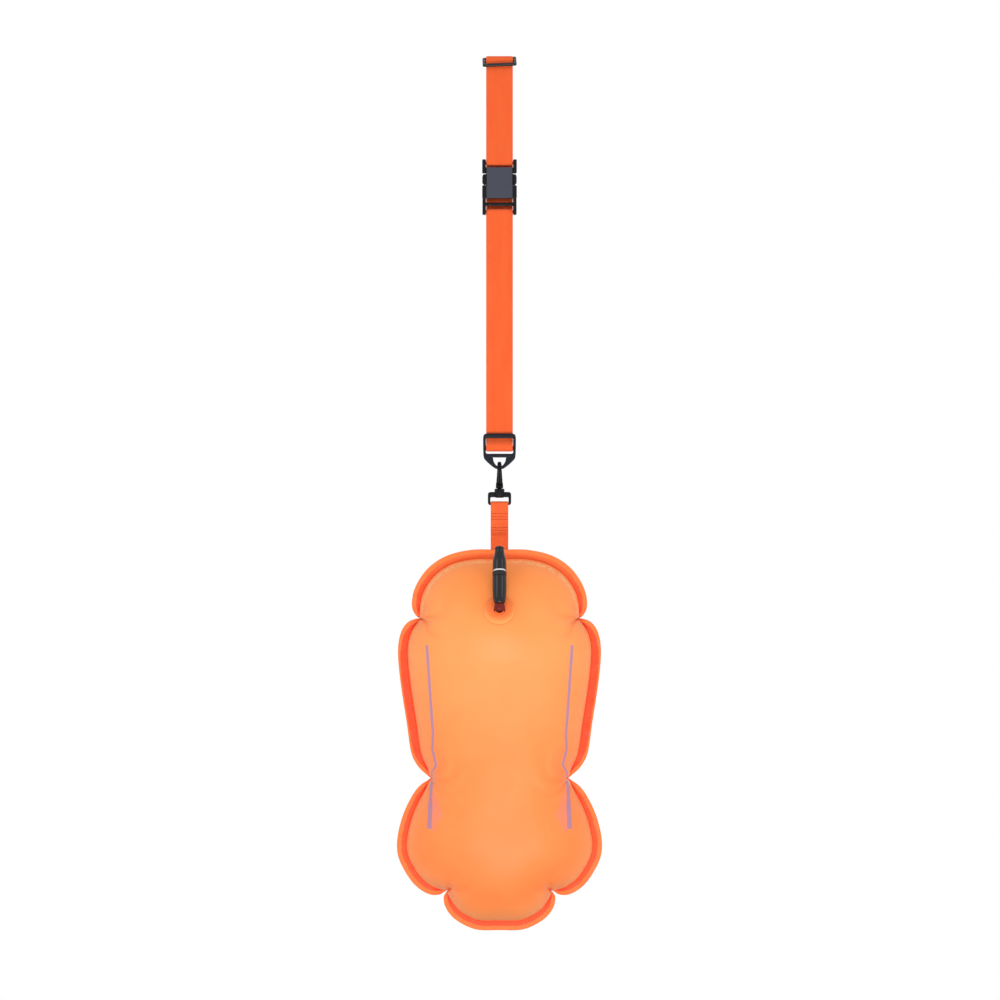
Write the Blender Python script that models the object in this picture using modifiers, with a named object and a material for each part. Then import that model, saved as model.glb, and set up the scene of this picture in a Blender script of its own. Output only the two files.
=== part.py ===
"""Open water swim buoy: a welded air chamber on a short leash, clipped to a waist belt.

Metres, +Z up, the front towards -Y. The belt hangs from the crown of its top fold, which is the origin,
and ring, hook, leash and chamber hang below it in one line.
"""

import math

import bmesh
import bpy
import numpy as np

# Fits that every piece shares
GAP = 0.0003
STRAP_PLAY = 0.00035
OVERRUN = 0.004
MERGE = 0.00001

# How finely round shapes are drawn, in sides for a full turn
TURN_SIDES = 24
BORE_SIDES = 20
ARC_SIDES = 16

# Belt webbing
BELT_WIDTH = 0.037
BELT_THICK = 0.0018
BELT_APART = 0.009
BELT_TAIL = 0.026
UPPER_LEAD = 0.038
LOWER_LEAD = 0.043
RING_LEAD = 0.034

# Slider on the doubled belt
SLIDER_WIDTH = 0.0473
SLIDER_RAIL = 0.0044
SLIDER_MIDDLE_BAR = 0.004
SLIDER_SLOT = 0.006
SLIDER_END_BAR = 0.005
SLIDER_THICK = 0.0036
SLIDER_CORNER = 0.003
SLIDER_EDGE = 0.0009
SLIDER_DROP = 0.008
SLIDER_TILT = math.radians(30)
SLIDER_LEAN = math.radians(2.3)

# Side-release buckle: a drop or top is measured down from its top, a foot up from its lower end
BUCKLE_DROP = 0.1446
BUCKLE_WIDTH = 0.048
BUCKLE_LENGTH = 0.077
BUCKLE_THICK = 0.013
BUCKLE_FORWARD = 0.0063
BUCKLE_CORNER = 0.0016
BUCKLE_EDGE = 0.0007
RAIL_THICK = 0.0108
PLATE_HALF = 0.0179
PLATE_WALL = 0.0025
PLATE_TOP = 0.0111
PLATE_FOOT = 0.0228
LEDGE_REACH = 0.0032
LATCH_PLAY = 0.00054
POCKET_HALF = 0.0203
POCKET_FOOT = 0.0328
MIDDLE_BAR_FOOT = 0.015
MIDDLE_BAR_HEIGHT = 0.0052
END_BAR_FOOT = 0.0045
EAR_LENGTH = 0.0194
MALE_BAR_AT = 0.0048
BAR_THICK = 0.004
BAR_HEIGHT = 0.0041
TONGUE_HALF = 0.0045
TONGUE_CLEAR = 0.0008
TONGUE_THICK = 0.005
PRONG_CLEAR = 0.0005
PRONG_TOP = 0.0197
PRONG_HINGE_X = 0.0125
PRONG_HINGE_DOWN = 0.0008
PRONG_FOOT_CLEAR = 0.001
PAD_INSET = 0.0041
PAD_EDGE = 0.0012
PAD_OUT_SHARE = 0.979
PAD_TOP_SHARE = 0.1
PAD_FOOT_SHARE = 0.56
CATCH_SHARE = 0.806
LEDGE_SHARE = 0.085

# Ring, from its centre bar
RING_DROP = 0.5448
RING_WIDTH = 0.0456
RING_THICK = 0.0044
RING_BAR_RADIUS = 0.0032
RING_TOP = 0.0202
RING_TOP_BAR = 0.0068
RING_WINDOW_BOTTOM = 0.008
RING_LOWER_BAR = 0.0053
RING_SHOULDER = 0.0125
RING_TO_APEX = 0.0273
RING_APEX_RADIUS = 0.0023
RING_CORNER = 0.003
RING_EDGE = 0.001
EYE_TOP_HALF = 0.0092
EYE_FOOT_HALF = 0.00355
RING_FOOT_HALF = 0.0062

# Hook, from the ring's apex
HOOK_ROD = 0.003
HOOK_SPINE_ROD = 0.0042
HOOK_BACK = 0.0102
HOOK_FOOT = 0.0289
HOOK_BLOCK_HEIGHT = 0.0076
HOOK_BLOCK_FRONT = 0.0125
HOOK_BLOCK_BACK = 0.0122
HOOK_BLOCK_HALF = 0.0049
NOSE_DROP = 0.0034
GATE_SLOT_HALF = 0.0029
GATE_SLOT_BACK = 0.004
GATE_PIN_FORWARD = 0.0094
GATE_PIN_DROP = 0.026
GATE_PIN_RADIUS = 0.001
GATE_PIN_HALF = 0.0062
GATE_HUB = 0.0027
GATE_ROD = 0.0021
GATE_TIP_GAP = 0.0005
SPRING_NEST_HALF = 0.0015
GATE_SPRING_TURNS = 4
GATE_SPRING_WIRE = 0.00022
GATE_SPRING_RADIUS = 0.0017
STEM_RADIUS = 0.0028
STEM_HEAD_RADIUS = 0.0045
STEM_HEAD_HEIGHT = 0.0034

# Swivel base, from its top face
SWIVEL_GAP = 0.0004
BOSS_RADIUS = 0.007
BOSS_HEIGHT = 0.0128
BOSS_ROUND = 0.0018
BASE_TOP = 0.0046
BASE_TOP_BAR = 0.0075
BASE_THICK = 0.0062
BASE_ARM = 0.0036
BASE_TO_BAR = 0.0211
BASE_BAR_RADIUS = 0.0019
BASE_BAR_SUNK = 0.001
BASE_CORNER = 0.004
BASE_EDGE = 0.0009

# Leash webbing
LEASH_WIDTH = 0.0245
LEASH_THICK = 0.0015
LEASH_LENGTH = 0.062
LEASH_SEWN = 0.0425
LEASH_CLOSING = 0.01
LEASH_CREASE = 0.0004
TAB_LENGTH = 0.013
PATCH_WIDTH = 0.034
PATCH_LENGTH = 0.0105
PATCH_THICK = 0.0006

# Air chamber
RIM_BELOW_CREASE = 0.0015
BUOY_LENGTH = 0.529
BUOY_WIDTH = 0.285
BUOY_HALF_THICK = 0.075
SHEET = 0.0006
SEAM = 0.00015
RIM_WIDTH = 0.0135
RIM_AT_NOTCH = 0.0022
NOTCH_REACH = 0.017
SPINE_INSET = 0.128
OUTLINE_SAMPLES = 33

# Valve
VALVE_DROP = 0.083
VALVE_SEAT_TILT = math.radians(28)
VALVE_LEAN = math.radians(18)
SEAT_FLAT_RADIUS = 0.024
SEAT_BLEND = 0.02
SEAT_HOLE = 0.005
FLANGE_RADIUS = 0.0208
FLANGE_THICK = 0.0012
FLANGE_BORE = 0.004
FLANGE_BEAD_RADIUS = 0.0092
FLANGE_BEAD = 0.0008
CUP_RADIUS = 0.0066
CUP_ANGLE = math.radians(44)
BALL_RADIUS = 0.0075
BALL_HEIGHT = 0.0102
NECK_RADIUS = 0.0055
NECK_TOP = 0.014
NECK_BORE = 0.0025
BARREL_START = 0.006
BARREL_TOP = 0.0443
BARREL_RADIUS = 0.0096
BARREL_END_RADIUS = 0.0081
BARREL_NECK_RADIUS = 0.007
BARREL_NECK_WALL = 0.001
VALVE_SEAT_AT = 0.03
VALVE_SEAT_THICK = 0.002
VALVE_SEAT_HOLE = 0.0032
COLLAR_HEIGHT = 0.006
COLLAR_RADIUS = 0.0098
COLLAR_GROOVE = 0.0004
COLLAR_RIBS = 3
BAND_RADIUS = 0.0086
BAND_SHOWN = 0.0029
BAND_HIDDEN = 0.0014
MOUTH_RADIUS = 0.0094
MOUTH_SKIRT = 0.0005
MOUTH_LENGTH = 0.0323
MOUTH_TIP_RADIUS = 0.0065
MOUTH_BORE = 0.0042
MOUTH_LIP = 0.0006
MOUTH_FLOOR = 0.0024
MOUTH_TRAVEL = 0.0022
SPIDER_RADIUS = 0.0055
SPIDER_HEIGHT = 0.0018
SPIDER_HUB = 0.0036
SPIDER_RIM = 0.0012
SPIDER_ARMS = 3
ROD_RADIUS = 0.0016
HEAD_RADIUS = 0.0046
HEAD_HEIGHT = 0.0026
SEAL_HEIGHT = 0.0012
SEAL_HOLE = 0.0022
VALVE_SPRING_RADIUS = 0.0027
VALVE_SPRING_WIRE = 0.0003
VALVE_SPRING_TURNS = 6

# Half outline of the chamber's sheets, lobe by lobe from the top, as shares of half the width and of the
# length: a smooth curve runs through each lobe, and lobes meet in a sharp notch
LOBE_SHARES = (
    ((0.0, 0.0), (0.28, 0.001), (0.52, 0.017), (0.70, 0.050), (0.82, 0.098), (0.855, 0.145),
     (0.815, 0.173), (0.746, 0.180)),
    ((0.746, 0.180), (0.87, 0.187), (0.952, 0.212), (0.99, 0.262), (0.968, 0.343), (0.905, 0.455),
     (0.862, 0.532), (0.79, 0.571), (0.668, 0.6005)),
    ((0.668, 0.6005), (0.80, 0.627), (0.915, 0.680), (0.982, 0.736), (1.0, 0.785), (0.962, 0.825),
     (0.85, 0.874), (0.72, 0.902), (0.60, 0.907), (0.493, 0.892)),
    ((0.493, 0.892), (0.543, 0.914), (0.522, 0.942), (0.44, 0.970), (0.30, 0.992), (0.18, 1.0),
     (0.0, 1.0)),
)
# How far each ring of a sheet lies from the spine, as a share of the way out to the weld line
RING_SHARES = (1.0, 0.97, 0.90, 0.78, 0.60, 0.38, 0.17, 0.0)

# Outline of a prong's inner web, as shares of half the buckle's width and of the prong's length
PRONG_SHARES = (
    (0.617, 0.0), (0.80, 0.025), (0.93, 0.06), (PAD_OUT_SHARE, 0.15), (PAD_OUT_SHARE, 0.50), (0.93, 0.60),
    (0.72, 0.655), (0.704, 0.68), (0.704, 0.80), (0.777, CATCH_SHARE), (0.777, 0.865), (0.675, 0.995),
    (0.575, 0.995), (0.55, 0.78), (0.61, 0.57), (0.71, 0.40), (0.71, 0.25), (0.61, 0.155),
    (0.467, 0.13), (0.467, 0.0),
)

# The hook's spine under its crown, as shares of its back reach and of its foot drop
SPINE_SHARES = ((0.76, 0.2), (0.95, 0.42), (1.0, 0.6))
SPINE_FOOT_SHARE = 0.86

# The gate's bow from pin to tip, as shares of its reach back and of its height
GATE_SHARES = ((0.0, 0.0), (-0.12, 0.35), (0.25, 0.72), (0.8, 1.0))

# The barrel below its straight top, as (radius share, height share) from the full radius down to the foot
BARREL_SHARES = ((1.0, 0.55), (0.97, 0.25))
BARREL_FOOT_SHARES = (1.03, 0.08)

# The mouthpiece, as shares of its tip's radius and of its length down from the tip
MOUTH_NECK_SHARES = ((1.0, 0.13), (1.03, 0.25), (1.2, 0.45))
MOUTH_GROOVE_SHARES = (0.09, 0.11)
MOUTH_FLARE_SHARE = 0.7

FACING_FRONT = (math.pi / 2, 0, 0)
FACING_SIDE = (math.pi / 2, 0, math.pi / 2)

# Places in the buckle that follow from its sizes, measured down from its top
PLATE_BOTTOM = BUCKLE_LENGTH - PLATE_FOOT
POCKET_FLOOR = BUCKLE_LENGTH - POCKET_FOOT
MIDDLE_BAR_AT = BUCKLE_LENGTH - MIDDLE_BAR_FOOT
END_BAR_AT = BUCKLE_LENGTH - END_BAR_FOOT
TONGUE_END = POCKET_FLOOR - TONGUE_CLEAR
PRONG_LENGTH = POCKET_FLOOR - PRONG_FOOT_CLEAR - PRONG_TOP
LEDGE_HEIGHT = LEDGE_SHARE * PRONG_LENGTH
RAIL_TOP = PRONG_TOP + CATCH_SHARE * PRONG_LENGTH - LATCH_PLAY - LEDGE_HEIGHT

# Places that follow from the sizes, in world coordinates
CROWN_Z = -(BELT_APART + BELT_THICK) / 2
RING_Z = -RING_DROP
APEX_Z = RING_Z - RING_TO_APEX
BASE_Z = APEX_Z - HOOK_FOOT - SWIVEL_GAP
LEASH_Z = BASE_Z - BASE_TO_BAR
CREASE_Z = LEASH_Z - LEASH_LENGTH
BUOY_Z = CREASE_Z - RIM_BELOW_CREASE
SHEET_OUT = SEAM + SHEET
CREASE_Y = SHEET_OUT + GAP + LEASH_THICK / 2
BAR_WRAP = BAR_THICK / 2 + GAP + BELT_THICK / 2
RING_WRAP = RING_BAR_RADIUS + GAP + BELT_THICK / 2
LEASH_WRAP = BASE_BAR_RADIUS + GAP + LEASH_THICK / 2
STRAP_CHANNEL = BELT_WIDTH / 2 + STRAP_PLAY


def linear(byte):
    """A colour byte as the linear value that a shader wants."""
    share = byte / 255
    return share / 12.92 if share <= 0.04045 else ((share + 0.055) / 1.055) ** 2.4


def material(name, colour, roughness, metallic=0.0):
    made = bpy.data.materials.new(name)
    made.use_nodes = True
    shader = made.node_tree.nodes["Principled BSDF"]
    shader.inputs["Base Color"].default_value = (*(linear(byte) for byte in colour), 1.0)
    shader.inputs["Roughness"].default_value = roughness
    shader.inputs["Metallic"].default_value = metallic
    return made


def collection(name):
    made = bpy.data.collections.new(name)
    bpy.context.scene.collection.children.link(made)
    return made


def empty(name, at, turn=(0, 0, 0), parent=None):
    """A pivot that carries the pieces of one moving body."""
    made = bpy.data.objects.new(name, None)
    made.location = at
    made.rotation_euler = turn
    made.parent = parent
    PARTS.objects.link(made)
    return made


def place(name, mesh, paint, parent, at=(0, 0, 0), turn=(0, 0, 0)):
    made = bpy.data.objects.new(name, mesh)
    made.location = at
    made.rotation_euler = turn
    made.parent = parent
    PARTS.objects.link(made)
    if paint:
        mesh.materials.append(paint)
    return made


def as_mesh(curve_object):
    """The curve's surface as a mesh with its caps welded; the curve itself goes."""
    bpy.context.view_layer.update()
    seen = curve_object.evaluated_get(bpy.context.evaluated_depsgraph_get())
    mesh = bpy.data.meshes.new_from_object(seen)
    work = bmesh.new()
    work.from_mesh(mesh)
    bmesh.ops.remove_doubles(work, verts=work.verts, dist=MERGE)
    bmesh.ops.recalc_face_normals(work, faces=work.faces)
    work.to_mesh(mesh)
    work.free()
    name = curve_object.name
    bpy.data.objects.remove(curve_object)
    mesh.name = name
    return mesh


def smooth(made, angle=40):
    made.data.shade_smooth()
    made.data.set_sharp_from_angle(angle=math.radians(angle))
    return made


def plate(name, loops, thick, paint, parent, at=(0, 0, 0), turn=FACING_FRONT, edge=0.0):
    """A flat outline with holes, given as loops of points, with rounded edges if edge isn't zero."""
    curve = bpy.data.curves.new(name, "CURVE")
    curve.dimensions = "2D"
    curve.fill_mode = "BOTH"
    curve.extrude = thick / 2 - edge
    curve.bevel_depth = edge
    curve.bevel_resolution = 1 if edge else 0
    curve.offset = -edge
    for loop in loops:
        spline = curve.splines.new("POLY")
        spline.points.add(len(loop) - 1)
        for point, (across, up) in zip(spline.points, loop):
            point.co = (across, up, 0, 1)
        spline.use_cyclic_u = True
    drawn = bpy.data.objects.new(name, curve)
    PARTS.objects.link(drawn)
    mesh = as_mesh(drawn)
    return smooth(place(name, mesh, paint, parent, at, turn))


def rod(name, points, radii, paint, parent, at=(0, 0, 0), resolution=2):
    """A round bar through points, with a radius at each."""
    curve = bpy.data.curves.new(name, "CURVE")
    curve.dimensions = "3D"
    curve.bevel_depth = max(radii)
    curve.bevel_resolution = resolution
    curve.use_fill_caps = True
    spline = curve.splines.new("POLY")
    spline.points.add(len(points) - 1)
    for point, where, radius in zip(spline.points, points, radii):
        point.co = (*where, 1)
        point.radius = radius / max(radii)
    drawn = bpy.data.objects.new(name, curve)
    PARTS.objects.link(drawn)
    mesh = as_mesh(drawn)
    return smooth(place(name, mesh, paint, parent, at))


def cylinder(name, radius, length, parent, at, turn=(0, 0, 0), paint=None, sides=BORE_SIDES):
    """A round bar along its own Z, centred on its place."""
    mesh = bpy.data.meshes.new(name)
    work = bmesh.new()
    bmesh.ops.create_cone(work, cap_ends=True, segments=sides, radius1=radius, radius2=radius, depth=length)
    work.to_mesh(mesh)
    work.free()
    return smooth(place(name, mesh, paint, parent, at, turn))


def box(name, low, high, parent, paint=None):
    """A block between two corners in its parent's frame."""
    mesh = bpy.data.meshes.new(name)
    work = bmesh.new()
    bmesh.ops.create_cube(work, size=1)
    sizes = [top - bottom for bottom, top in zip(low, high)]
    bmesh.ops.scale(work, verts=work.verts, vec=sizes)
    work.to_mesh(mesh)
    work.free()
    middle = [(top + bottom) / 2 for bottom, top in zip(low, high)]
    return place(name, mesh, paint, parent, middle)


def turned(name, profile, paint, parent, at=(0, 0, 0), turn=(0, 0, 0), sides=TURN_SIDES, closed=True):
    """A profile of (radius, height) turned round Z: down the outer side first, then up the inner."""
    mesh = bpy.data.meshes.new(name)
    points = [(radius, 0, height) for radius, height in profile]
    edges = [(index, index + 1) for index in range(len(points) - 1)]
    if closed:
        edges.append((len(points) - 1, 0))
    mesh.from_pydata(points, edges, [])
    made = place(name, mesh, paint, parent, at, turn)
    screw = made.modifiers.new("turn", "SCREW")
    screw.steps = sides
    screw.render_steps = sides
    screw.use_merge_vertices = True
    screw.merge_threshold = MERGE
    screw.use_smooth_shade = True
    return made


def boolean(target, tool, operation):
    change = target.modifiers.new(tool.name, "BOOLEAN")
    change.operation = operation
    change.object = tool
    tool.hide_render = True
    tool.display_type = "WIRE"
    for holder in tool.users_collection:
        holder.objects.unlink(tool)
    TOOLS.objects.link(tool)


def join(target, *tools):
    for tool in tools:
        boolean(target, tool, "UNION")
    return target


def cut(target, *tools):
    for tool in tools:
        boolean(target, tool, "DIFFERENCE")
    return target


def arc(centre, radius, start, end, count=ARC_SIDES // 2):
    """Points on a circle between two angles in degrees, ends included."""
    angles = np.radians(np.linspace(start, end, count + 1))
    return [(centre[0] + radius * math.cos(a), centre[1] + radius * math.sin(a)) for a in angles]


def rounded(corners, radius, steps=3):
    """The outline through corners with each corner cut by an arc; radius may be one value or one each."""
    radii = radius if isinstance(radius, (list, tuple)) else [radius] * len(corners)
    points = []
    count = len(corners)
    for index, corner in enumerate(corners):
        here = np.array(corner)
        before = np.array(corners[index - 1]) - here
        after = np.array(corners[(index + 1) % count]) - here
        reach_in, reach_out = np.linalg.norm(before), np.linalg.norm(after)
        half = math.acos(np.clip(before @ after / (reach_in * reach_out), -1, 1)) / 2
        if not radii[index] or half > math.radians(88):
            points.append(tuple(here))
            continue
        trim = min(radii[index] / math.tan(half), reach_in * 0.49, reach_out * 0.49)
        start, end = here + before / reach_in * trim, here + after / reach_out * trim
        for step in np.linspace(0, 1, steps + 1):
            points.append(tuple((1 - step) ** 2 * start + 2 * step * (1 - step) * here + step ** 2 * end))
    return points


def rectangle(half, low, high):
    return [(-half, low), (half, low), (half, high), (-half, high)]


def mirrored(points):
    """A right-hand half outline and its reflection, as one loop."""
    return list(points) + [(-across, up) for across, up in reversed(points)]


def ease(start, end, count=6):
    """Points of an S-bend between two (y, z) places, level with the strap at both ends."""
    steps = np.linspace(0, 1, count + 1)[1:-1]
    return [(start[0] + (end[0] - start[0]) * (3 * s * s - 2 * s ** 3), start[1] + (end[1] - start[1]) * s)
            for s in steps]


def ribbon(name, path, width, thick, paint, parent, origin=(0, 0)):
    """Webbing: a path of (y, z) points as wide as the strap, thickened evenly on both sides."""
    half = width / 2
    rows = [[(side, y - origin[0], z - origin[1]) for side in (-half, half)] for y, z in path]
    made = place(name, sheet(name, np.array(rows)), paint, parent)
    wall = made.modifiers.new("thickness", "SOLIDIFY")
    wall.thickness = thick
    wall.offset = 0
    wall.use_even_offset = True
    return made


def sheet(name, grid):
    """An open mesh over a grid of points, with doubled points merged."""
    rows, columns = grid.shape[:2]
    index = np.arange(rows * columns).reshape(rows, columns)
    faces = np.stack([index[:-1, :-1], index[:-1, 1:], index[1:, 1:], index[1:, :-1]], axis=-1)
    mesh = bpy.data.meshes.new(name)
    mesh.from_pydata(grid.reshape(-1, 3).tolist(), [], faces.reshape(-1, 4).tolist())
    work = bmesh.new()
    work.from_mesh(mesh)
    bmesh.ops.remove_doubles(work, verts=work.verts, dist=MERGE)
    work.to_mesh(mesh)
    work.free()
    return mesh


def coil(name, radius, wire, turns, low, high, paint, parent, at=(0, 0, 0), turn=(0, 0, 0), points=12):
    """A compression or torsion spring round its own Z, from low to high, as one unbroken wire."""
    steps = np.linspace(0, 1, turns * points + 1)
    angle = 2 * math.pi * turns * steps
    height = low + (high - low) * steps
    route = [(radius * math.cos(a), radius * math.sin(a), h) for a, h in zip(angle, height)]
    made = rod(name, route, [wire] * len(route), paint, parent, at, resolution=1)
    made.rotation_euler = turn
    return made


def belt_slope(start_y, end_y, start_z, end_z):
    return [(start_y, start_z), *ease((start_y, start_z), (end_y, end_z)), (end_y, end_z)]


def build_belt(belt):
    """One strap, split at its folds: up from the male bar, over the crown, down the back, round the ring."""
    front, back = -BELT_APART / 2, BELT_APART / 2
    bar_front, bar_back = -BUCKLE_FORWARD - BAR_WRAP, -BUCKLE_FORWARD + BAR_WRAP
    upper_bar = -BUCKLE_DROP - MALE_BAR_AT
    lower_bar = -BUCKLE_DROP - END_BAR_AT
    behind = RING_THICK / 2 + GAP + BELT_THICK / 2
    further = behind + BELT_THICK + 2 * GAP
    ring_top = RING_Z + RING_TOP + 2 * GAP
    ring_under = RING_Z + RING_TOP - RING_TOP_BAR - BELT_THICK / 2
    webbing = material("belt_webbing", (253, 112, 56), 0.75)

    upper = [(front, CROWN_Z - GAP)]
    upper += belt_slope(front, bar_front, upper_bar + UPPER_LEAD, upper_bar)
    upper += arc((-BUCKLE_FORWARD, upper_bar), BAR_WRAP, 180, 360)[1:]
    upper += [(bar_back, upper_bar + BELT_TAIL)]
    crown = arc((0, CROWN_Z), BELT_APART / 2, 180, 0)
    fold = arc((0, RING_Z), RING_WRAP, 180, 360)
    bar_near = RING_Z + BELT_THICK
    ring_out = [*belt_slope(behind, -RING_WRAP, ring_under, bar_near), (-RING_WRAP, RING_Z + GAP)]
    lower = [(bar_back, lower_bar - BELT_TAIL)]
    lower += arc((-BUCKLE_FORWARD, lower_bar), BAR_WRAP, 0, 180)
    lower += belt_slope(bar_front, front, lower_bar, lower_bar - LOWER_LEAD)[1:]
    lower += belt_slope(front, behind, ring_top + RING_LEAD, ring_top) + ring_out
    rear = [(back, CROWN_Z - GAP)]
    rear += belt_slope(back, further, ring_top + RING_LEAD, ring_top)
    rear += [*belt_slope(further, RING_WRAP, ring_under, bar_near), (RING_WRAP, RING_Z + GAP)]
    for name, path in (("belt_upper_front", upper), ("belt_crown", crown), ("belt_back", rear),
                       ("belt_ring_fold", fold), ("belt_lower_front", lower)):
        ribbon(name, path, BELT_WIDTH, BELT_THICK, webbing, belt)


def build_slider():
    pivot = empty("slider_pivot", (0, 0, -SLIDER_DROP), (SLIDER_TILT, -SLIDER_LEAN, 0))
    half = SLIDER_WIDTH / 2
    slot_half = half - SLIDER_RAIL
    near = SLIDER_MIDDLE_BAR / 2
    far = near + SLIDER_SLOT
    end = far + SLIDER_END_BAR
    slots = [rounded(rectangle(slot_half, low, high), SLIDER_EDGE)
             for low, high in ((near, far), (-far, -near))]
    loops = [rounded(rectangle(half, -end, end), SLIDER_CORNER), *slots]
    plate("belt_slider", loops, SLIDER_THICK, material("slider_plastic", (30, 30, 33), 0.3), pivot,
          turn=(0, 0, 0), edge=SLIDER_EDGE)


def down(points):
    """Buckle places, measured down from its top, in the buckle's own frame."""
    return [(across, -drop) for across, drop in points]


def buckle_bar(name, at_drop, length, belt, height=BAR_HEIGHT):
    """A strap bar with rounded edges, across the buckle."""
    flat = rounded(rectangle(BAR_THICK / 2, -height / 2, height / 2), BAR_THICK * 0.45)
    return plate(name, [flat], length, None, belt, (0, 0, -at_drop), FACING_SIDE)


def build_buckle(belt):
    """Both halves latched: the tongue half above, its prongs caught under the socket's ledges."""
    frame = empty("buckle_frame", (0, -BUCKLE_FORWARD, -BUCKLE_DROP), parent=belt)
    half = BUCKLE_WIDTH / 2
    rail_in = STRAP_CHANNEL
    bar_span = 2 * (rail_in + half) / 2
    glossy = material("buckle_plastic", (44, 44, 48), 0.28)
    slate = material("buckle_plate_plastic", (80, 83, 92), 0.5)
    ledge_in = POCKET_HALF - LEDGE_REACH
    head = mirrored([(PLATE_HALF, -PLATE_TOP), (PLATE_HALF, -RAIL_TOP), (half, -RAIL_TOP),
                     (half, -PLATE_BOTTOM)][::-1])
    socket = plate("buckle_female", [rounded(head, BUCKLE_CORNER)], BUCKLE_THICK, slate, frame,
                   edge=BUCKLE_EDGE)
    window = mirrored(down([(half + OVERRUN, PLATE_TOP - OVERRUN), (half + OVERRUN, RAIL_TOP + GAP),
                            (ledge_in, RAIL_TOP + GAP), (ledge_in, RAIL_TOP + LEDGE_HEIGHT),
                            (POCKET_HALF, RAIL_TOP + LEDGE_HEIGHT), (POCKET_HALF, POCKET_FLOOR)])[::-1])
    cut(socket, plate("socket_pocket", [window], BUCKLE_THICK - 2 * PLATE_WALL, None, frame))
    # The window's mouth runs past the rails, so its outline crosses itself at both ledges
    socket.modifiers["socket_pocket"].use_self = True
    for side, name in ((-1, "left"), (1, "right")):
        middle, reach = side * (rail_in + half - GAP) / 2, (half - GAP - rail_in) / 2
        rail = rounded([(middle - reach, -BUCKLE_LENGTH), (middle + reach, -BUCKLE_LENGTH),
                        (middle + reach, -PLATE_BOTTOM + OVERRUN),
                        (middle - reach, -PLATE_BOTTOM + OVERRUN)], BUCKLE_CORNER)
        join(socket, plate("rail_" + name, [rail], RAIL_THICK, None, frame, edge=BUCKLE_EDGE))
    join(socket, buckle_bar("middle_bar", MIDDLE_BAR_AT, bar_span, frame, MIDDLE_BAR_HEIGHT),
         buckle_bar("end_bar", END_BAR_AT, bar_span, frame))

    web = BUCKLE_THICK - 2 * PLATE_WALL - 2 * GAP
    base = rounded(rectangle(half - GAP, -EAR_LENGTH, -PLATE_TOP), BUCKLE_CORNER)
    tongue = plate("buckle_male", [base], web, glossy, frame, edge=BUCKLE_EDGE)
    for side, name in ((-1, "left"), (1, "right")):
        middle, reach = side * (rail_in + half) / 2, (half - rail_in) / 2
        ear = rounded([(middle - reach, -EAR_LENGTH), (middle + reach, -EAR_LENGTH),
                       (middle + reach, 0), (middle - reach, 0)], BUCKLE_CORNER)
        join(tongue, plate("ear_" + name, [ear], RAIL_THICK, None, frame, edge=BUCKLE_EDGE))
    blade = rounded(rectangle(TONGUE_HALF, -TONGUE_END, -EAR_LENGTH + OVERRUN), BUCKLE_CORNER)
    join(tongue, plate("blade", [blade], TONGUE_THICK, None, frame),
         buckle_bar("strap_bar", MALE_BAR_AT, bar_span, frame))

    for side, name in ((-1, "left"), (1, "right")):
        hinge = empty("prong_hinge_" + name, (side * PRONG_HINGE_X, 0, -PRONG_TOP - PRONG_HINGE_DOWN),
                      parent=frame)
        outline = [(side * (across * half - PRONG_HINGE_X), PRONG_HINGE_DOWN - drop * PRONG_LENGTH)
                   for across, drop in PRONG_SHARES]
        prong = plate("buckle_prong_" + name, [outline], web - 2 * PRONG_CLEAR, glossy, hinge)
        pad_out = half * PAD_OUT_SHARE - PRONG_HINGE_X
        pad_in = pad_out - PAD_INSET + GAP
        pad_top, pad_foot = (PRONG_HINGE_DOWN - PRONG_LENGTH * share
                             for share in (PAD_TOP_SHARE, PAD_FOOT_SHARE))
        pad = rounded([(side * pad_in, pad_foot), (side * pad_out, pad_foot), (side * pad_out, pad_top),
                       (side * pad_in, pad_top)], PAD_EDGE)
        join(prong, plate("pad_" + name, [pad], RAIL_THICK, None, hinge, edge=BUCKLE_EDGE))


def build_ring():
    """A strap window over a triangular eye, with a round centre bar and a round apex."""
    pivot = empty("ring_pivot", (0, 0, RING_Z))
    half = RING_WIDTH / 2
    inner = STRAP_CHANNEL
    floor = -RING_WINDOW_BOTTOM
    eye_top = floor - RING_LOWER_BAR
    foot = -RING_TO_APEX
    outline = mirrored([(half, RING_TOP), (half, -RING_SHOULDER), (RING_FOOT_HALF, foot - RING_APEX_RADIUS)])
    window = rounded(rectangle(inner, floor, RING_TOP - RING_TOP_BAR), RING_EDGE * 2)
    eye = rounded([(-EYE_TOP_HALF, eye_top), (-EYE_FOOT_HALF, foot + RING_APEX_RADIUS),
                   (EYE_FOOT_HALF, foot + RING_APEX_RADIUS), (EYE_TOP_HALF, eye_top)], RING_EDGE * 1.5)
    ring = plate("belt_ring", [rounded(outline, RING_CORNER), window, eye], RING_THICK,
                 material("ring_plastic", (36, 36, 46), 0.42), pivot, edge=RING_EDGE)
    bar = cylinder("centre_bar", RING_BAR_RADIUS, 2 * (inner + RING_EDGE * 2), pivot, (0, 0, 0),
                   FACING_SIDE)
    clear = box("apex_clearance", (-EYE_FOOT_HALF, -RING_THICK, foot - RING_APEX_RADIUS - OVERRUN),
                (EYE_FOOT_HALF, RING_THICK, foot + RING_APEX_RADIUS * 1.5), pivot)
    apex = cylinder("apex_bar", RING_APEX_RADIUS, 2 * EYE_FOOT_HALF + RING_FOOT_HALF / 2, pivot,
                    (0, 0, foot), FACING_SIDE)
    join(ring, bar)
    cut(ring, clear)
    join(ring, apex)


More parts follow.
